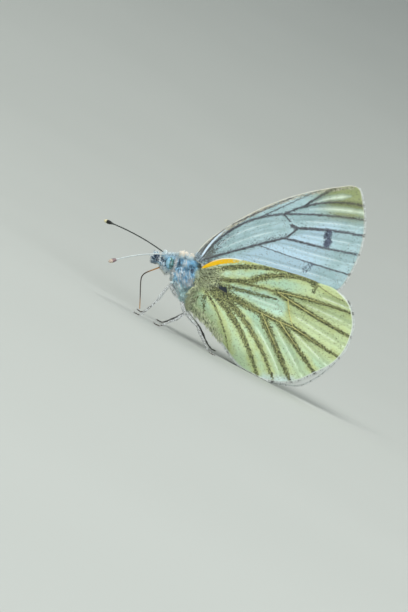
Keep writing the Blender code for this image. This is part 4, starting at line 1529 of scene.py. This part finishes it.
def facet_maker():
    """A ball of six-sided facets."""
    maker = Maker("facets_of_an_eye")
    ball = maker.node("GeometryNodeMeshIcoSphere", {}, {"Radius": 1.0, "Subdivisions": 5})
    maker.finish(maker.node("GeometryNodeDualMesh", {}, {"Mesh": ball}))
    return maker


def eye(label, side, maker, material):
    """A domed eye of many facets, each a little raised in its middle."""
    source = lines_object("eye_seed", [np.array([(0, 0, 0, 0.1), (0.1, 0, 0, 0.1)])])
    piece = maker.make("eye_facets_" + label, source, Material=material)
    drop(source)
    mesh = bmesh.new()
    mesh.from_mesh(piece.data)
    corners = len(mesh.verts)
    bmesh.ops.poke(mesh, faces=mesh.faces)
    mesh.verts.ensure_lookup_table()
    centre = Vector((-EYE_AHEAD, side * EYE_FLAT, EYE_LEVEL))
    for number, vert in enumerate(mesh.verts):
        ball = vert.co.normalized() * (1 + (FACET_LIFT if number >= corners else 0.0))
        flat = Vector((ball.x * EYE_LENGTH, ball.y * EYE_DEPTH, ball.z * EYE_HEIGHT))
        vert.co = HINGE + (centre + Matrix.Rotation(EYE_TILT, 3, "Y") @ flat) * MM
    mesh.to_mesh(piece.data)
    mesh.free()
    piece.data.shade_smooth()
    face_outward(piece)
    at, _ = places_of(piece)
    rear = smooth(at[:, 0] + 0.35 * (at[:, 2] - EYE_LEVEL), -EYE_AHEAD - 0.3, -EYE_AHEAD + 0.2)
    put_values(piece, rear=rear, joint=np.arange(len(at)) < corners)
    settle(piece, "eye", "eye_" + label)


facets = facet_maker()
eye_material = eye_finish()
for label, side in SIDES.items():
    eye(label, side, facets, eye_material)


# ---------------------------------------------------------------------------- feelers and tongue

# Each feeler bows from its seat to its tip, as in the solids
FEELER = {
    "left": ((-4.85, 0.36, -0.3), (-10.6, 6.95, -4.2), (0.0, -0.2, 0.45)),
    "right": ((-4.8, 0.36, -0.25), (-14.2, 5.05, -0.35), (0.0, 0.0, 0.35)),
}
ANTENNA_JOINTS = 34
SHAFT = 0.088           # radius of the shaft
CLUB = 0.26             # and of the club at its widest
CLUB_LENGTH = 1.75
CLUB_SWELL = 1.1        # the club reaches its full width this far along it
CLUB_END = 0.55         # and narrows this far from its tip
ANTENNA_STEP = 0.06
# The tongue starts inside the mouth, runs forward and down, and turns back at a knee
TONGUE_MOUTH = (-5.0, -2.4)         # where the solid's tongue starts
TONGUE_ROOT = 0.45                  # how far inside the face this one starts
TONGUE_LENGTH = 6.45                # from the mouth
TONGUE_HEADING = math.radians(228)
TONGUE_TURN = math.radians(68)
TONGUE_KNEE = 2.1
TONGUE_KNEE_WIDTH = 1.1
TONGUE_STEP = 0.035
TONGUE_RADIUS = 0.09                # of each half at its start,
TONGUE_TAPER = 0.035                # and how much thinner it is at its end
TONGUE_APART = 0.045                # how far each half lies from the middle


def antenna_finish():
    """Black rings with white scales on their outer side, a dark club and a cream tip."""
    finish = Finish("antenna_scales", Roughness=0.5, Specular_IOR_Level=0.35)
    grain = finish.noise(0.09, 1.0)
    ring, outer, club, tip = (finish.field(name) for name in ("ring", "outer", "club", "tip"))
    white = (outer * 1.1 + ring * 0.7 + grain.around(0.7)).step(0.7, 1.3)
    colour = finish.mix(white, (0.045, 0.052, 0.045), (0.60, 0.66, 0.66))
    dusky = (outer + grain.around(0.6)).step(0.4, 0.9)
    colour = finish.mix(club, colour, finish.mix(dusky, (0.006, 0.008, 0.006), (0.30, 0.20, 0.21)))
    colour = finish.mix(tip, colour, finish.mix(dusky * 0.8, (0.84, 0.78, 0.50), (0.44, 0.32, 0.31)))
    finish.link(Base_Color=colour)
    return finish.bump(finish.cells(0.06), 0.01, 0.5).material


def antenna(label, side, material):
    """A ringed shaft that swells to a club."""
    line = even_steps(bowed(*FEELER[label], 60) * (1, side, 1), ANTENNA_STEP)
    run = np.concatenate([[0], np.cumsum(np.linalg.norm(np.diff(line, axis=0), axis=1))])
    share = run / run[-1]
    left = run[-1] - run
    swell = smooth(CLUB_LENGTH - left, 0.0, CLUB_SWELL)
    radius = SHAFT + (CLUB - SHAFT) * swell
    radius = radius * np.sqrt(1 - (np.clip(CLUB_END - left, 0, CLUB_END - 0.02) / CLUB_END) ** 2)
    joint = (share * ANTENNA_JOINTS) % 1
    radius = radius * (1 + 0.16 * (joint - 0.5)) * (1 + 0.9 * np.exp(-(run / 0.22) ** 2))
    source = lines_object("antenna_line", [np.column_stack([line, radius])], ring=np.sin(math.pi * joint),
                          club=smooth(swell, 0.35, 0.7), tip=smooth(0.56 - left, 0.0, 0.14))
    piece = tubes.make("antenna_shaft_" + label, source, Sides=12, Material=material)
    drop(source)
    _, facing = places_of(piece)
    put_values(piece, outer=0.5 + 0.5 * facing[:, 1] * side)
    settle(piece, "antenna_scales", "antenna_" + label)


def proboscis():
    """The two halves of the tongue lie against each other, finely ridged across."""
    finish = Finish("proboscis", Roughness=0.35, Specular_IOR_Level=0.5)
    end, grain = finish.field("ends"), finish.noise(0.2, 2.0)
    colour = finish.mix((end + grain.around(0.3)).clamped(), (0.04, 0.026, 0.018), (0.50, 0.24, 0.07))
    finish.link(Base_Color=colour)
    finish.bump(grain, 0.01, 0.4)
    run = np.arange(-TONGUE_ROOT, TONGUE_LENGTH, TONGUE_STEP)
    past_knee = (run - TONGUE_KNEE) / TONGUE_KNEE_WIDTH
    heading = TONGUE_HEADING + TONGUE_TURN * (0.5 + 0.5 * np.tanh(2 * past_knee))
    start = np.array(TONGUE_MOUTH) - TONGUE_ROOT * direction(TONGUE_HEADING)
    course = start + TONGUE_STEP * np.cumsum(np.stack([np.cos(heading), np.sin(heading)], 1), axis=0)
    share = np.linspace(0, 1, len(course))
    ends = np.clip(1 - smooth(share, 0.12, 0.3) + smooth(share, 0.72, 0.95), 0, 1)
    ridge = 1 + 0.05 * np.sin(np.arange(len(course)) * math.pi / 2)
    radius = (TONGUE_RADIUS - TONGUE_TAPER * share) * ridge
    lines = [np.column_stack([course[:, 0], np.full(len(course), hand * TONGUE_APART), course[:, 1], radius])
             for hand in (-1, 1)]
    source = lines_object("tongue_lines", lines, ends=np.tile(ends, 2))
    piece = tubes.make("tongue", source, Sides=9, Material=finish.material)
    drop(source)
    settle(piece, "proboscis", "proboscis")


horn = antenna_finish()
for label, side in SIDES.items():
    antenna(label, side, horn)
proboscis()


# ---------------------------------------------------------------------------- legs

# Points of each leg, and the numbers of the points where the femur, tibia and foot begin
LEG = {
    "front": ([(-1.5, 0.6, -3.3), (-0.95, 0.9, -4.3), (-1.6, 1.45, -4.05), (-2.5, 2.0, -3.6),
               (-2.8, 2.4, -4.6), (-3.0, 2.6, -5.8), (-3.35, 2.95, -7.0), (-3.85, 3.3, -8.1),
               (-4.25, 3.5, -8.43), (-4.8, 3.72, -8.43)], (1, 3, 6)),
    "mid": ([(-0.2, 0.6, -3.6), (-0.12, 0.8, -4.5), (0.3, 1.5, -5.2), (0.85, 2.35, -5.8),
             (0.5, 2.9, -6.5), (0.1, 3.3, -7.1), (-0.5, 3.7, -7.75), (-1.05, 4.0, -8.3),
             (-1.4, 4.15, -8.43), (-1.95, 4.36, -8.43)], (1, 3, 6)),
    "hind": ([(0.5, 0.36, -3.5), (0.42, 0.4, -4.6), (0.6, 0.5, -5.25), (1.2, 0.95, -5.75),
              (2.1, 1.55, -6.15), (3.0, 2.15, -6.45), (3.9, 2.75, -7.1), (4.8, 3.3, -7.75),
              (5.5, 3.7, -8.2), (6.1, 3.95, -8.43), (6.65, 4.12, -8.43)], (1, 5, 7)),
}
COXA, FEMUR, TIBIA, FOOT = 0.3, 0.24, 0.155, 0.09
FOOT_JOINTS = (0.0, 0.36, 0.54, 0.7, 0.84, 1.0)
SOLE_START = 1.1        # below this height a leg is brought down to stand on the floor,
FOOT_LEVEL = 0.22       # where its points lie this high
# Points of a claw: how far past the toe, how far to its side, how far above it
CLAW = ((-0.03, 0.03, 0.0), (0.07, 0.07, 0.03), (0.15, 0.1, 0.0), (0.19, 0.09, -0.06))
LEG_CURVE = 12          # steps from each point of a leg to the next
SHELL_STEP = 0.07
FOOT_STEP = 0.04


def rounded(share, power, least):
    """Full width along a length of shell, but rounded off at its two ends."""
    return np.sqrt(np.clip(1 - (2 * share - 1) ** power, least, 1))


def leg_finish():
    finish = Finish("leg_shell", Roughness=0.5, Specular_IOR_Level=0.4)
    grain = finish.noise(0.12, 2.0)
    finish.link(Base_Color=finish.mix(grain.step(0.3, 0.7), (0.045, 0.035, 0.03), (0.17, 0.145, 0.12)))
    return finish.bump(grain, 0.01, 0.4).material


def leg_coat_finish():
    finish = Finish("leg_scales", **TUFTS)
    own, upper, near = (finish.field(name) for name in ("own", "upper", "near"))
    share = finish.noise(0.4, 1.0).around(0.8) + own * 0.4 + upper * 0.6 + near * 0.65
    finish.link(Base_Color=finish.mix(share.step(0.25, 0.75), (0.10, 0.095, 0.09), (0.86, 0.90, 0.90)))
    return finish.bump(finish.noise(0.03, 1.0), 0.004, 0.3).material


def leg_lines(points, starts, side):
    """Each length of shell of one leg as a line of its own: hip, thigh, shin and five joints of the foot."""
    path = through(np.array(points) * (1, side, 1), LEG_CURVE)
    height = path[:, 2] + HINGE_HEIGHT
    low = FOOT + (height - FOOT_LEVEL) * (SOLE_START - FOOT) / (SOLE_START - FOOT_LEVEL)
    path[:, 2] = np.where(height < SOLE_START, low, height) - HINGE_HEIGHT
    cuts = [0] + [LEG_CURVE * start for start in starts] + [len(path) - 1]
    lines = []
    for number, thick in enumerate((COXA, FEMUR, TIBIA)):
        line = even_steps(path[cuts[number]:cuts[number + 1] + 1], SHELL_STEP)
        t = np.linspace(0, 1, len(line))
        full = (0.62 + 0.38 * np.sin(math.pi * np.clip(t * 1.1, 0, 1)) ** 0.7) * (1 - 0.25 * t)
        lines.append(np.column_stack([line, thick * full * rounded(t, 14, 0.02)]))
    foot = even_steps(path[cuts[3]:], FOOT_STEP)
    for a, b in zip(FOOT_JOINTS, FOOT_JOINTS[1:]):
        line = foot[round(a * (len(foot) - 1)):round(b * (len(foot) - 1)) + 1]
        t = np.linspace(0, 1, len(line))
        lines.append(np.column_stack([line, FOOT * (0.72 + 0.28 * t) * rounded(t, 10, 0.05)]))
    toe, back = foot[-1], foot[-3]
    ahead = (toe - back) / np.linalg.norm(toe - back)
    aside = np.array([-ahead[1], ahead[0], 0.0])
    for hand in (-1, 1):
        claw = [toe + out * ahead + hand * wide * aside + (0, 0, up) for out, wide, up in CLAW]
        line = through(claw, 4)
        lines.append(np.column_stack([line, np.linspace(0.03, 0.008, len(line))]))
    return lines


def legs(label, side, shell, scales):
    """All three legs of one side, with their scales."""
    for place, (points, starts) in LEG.items():
        lines = leg_lines(points, starts, side)
        source = lines_object("leg_line", lines)
        piece = tubes.make("leg_shell_" + place + "_" + label, source, Sides=10, Material=shell)
        drop(source)
        at, facing = places_of(piece)
        height = at[:, 2] + HINGE_HEIGHT
        raised = smooth(height, 0.05, 0.3)
        sole = smooth(-facing[:, 2], -0.1, 0.3) * (1 - smooth(height, 0.2, 0.4))
        put_values(piece, crowd=(0.35 + 0.65 * raised) * (1 - sole),
                   long=(0.09 + 0.08 * raised) * MM, wide=0.05 * MM, rise=0.25,
                   upper=np.clip(0.5 + 0.5 * facing[:, 1] * side, 0, 1), near=smooth(height, 1.6, 3.6))
        settle(piece, "leg_scales", "leg_" + place + "_" + label)
        coat("leg_coat_" + place + "_" + label, piece, "leg_scales", scales, 260, 5, scale_blade, 0.1, 0.25)


leg_shell = leg_finish()
leg_scales = leg_coat_finish()
for label, side in SIDES.items():
    legs(label, side, leg_shell, leg_scales)


for shape in (hair_blade, scale_blade):
    drop(shape)
studio()
camera()
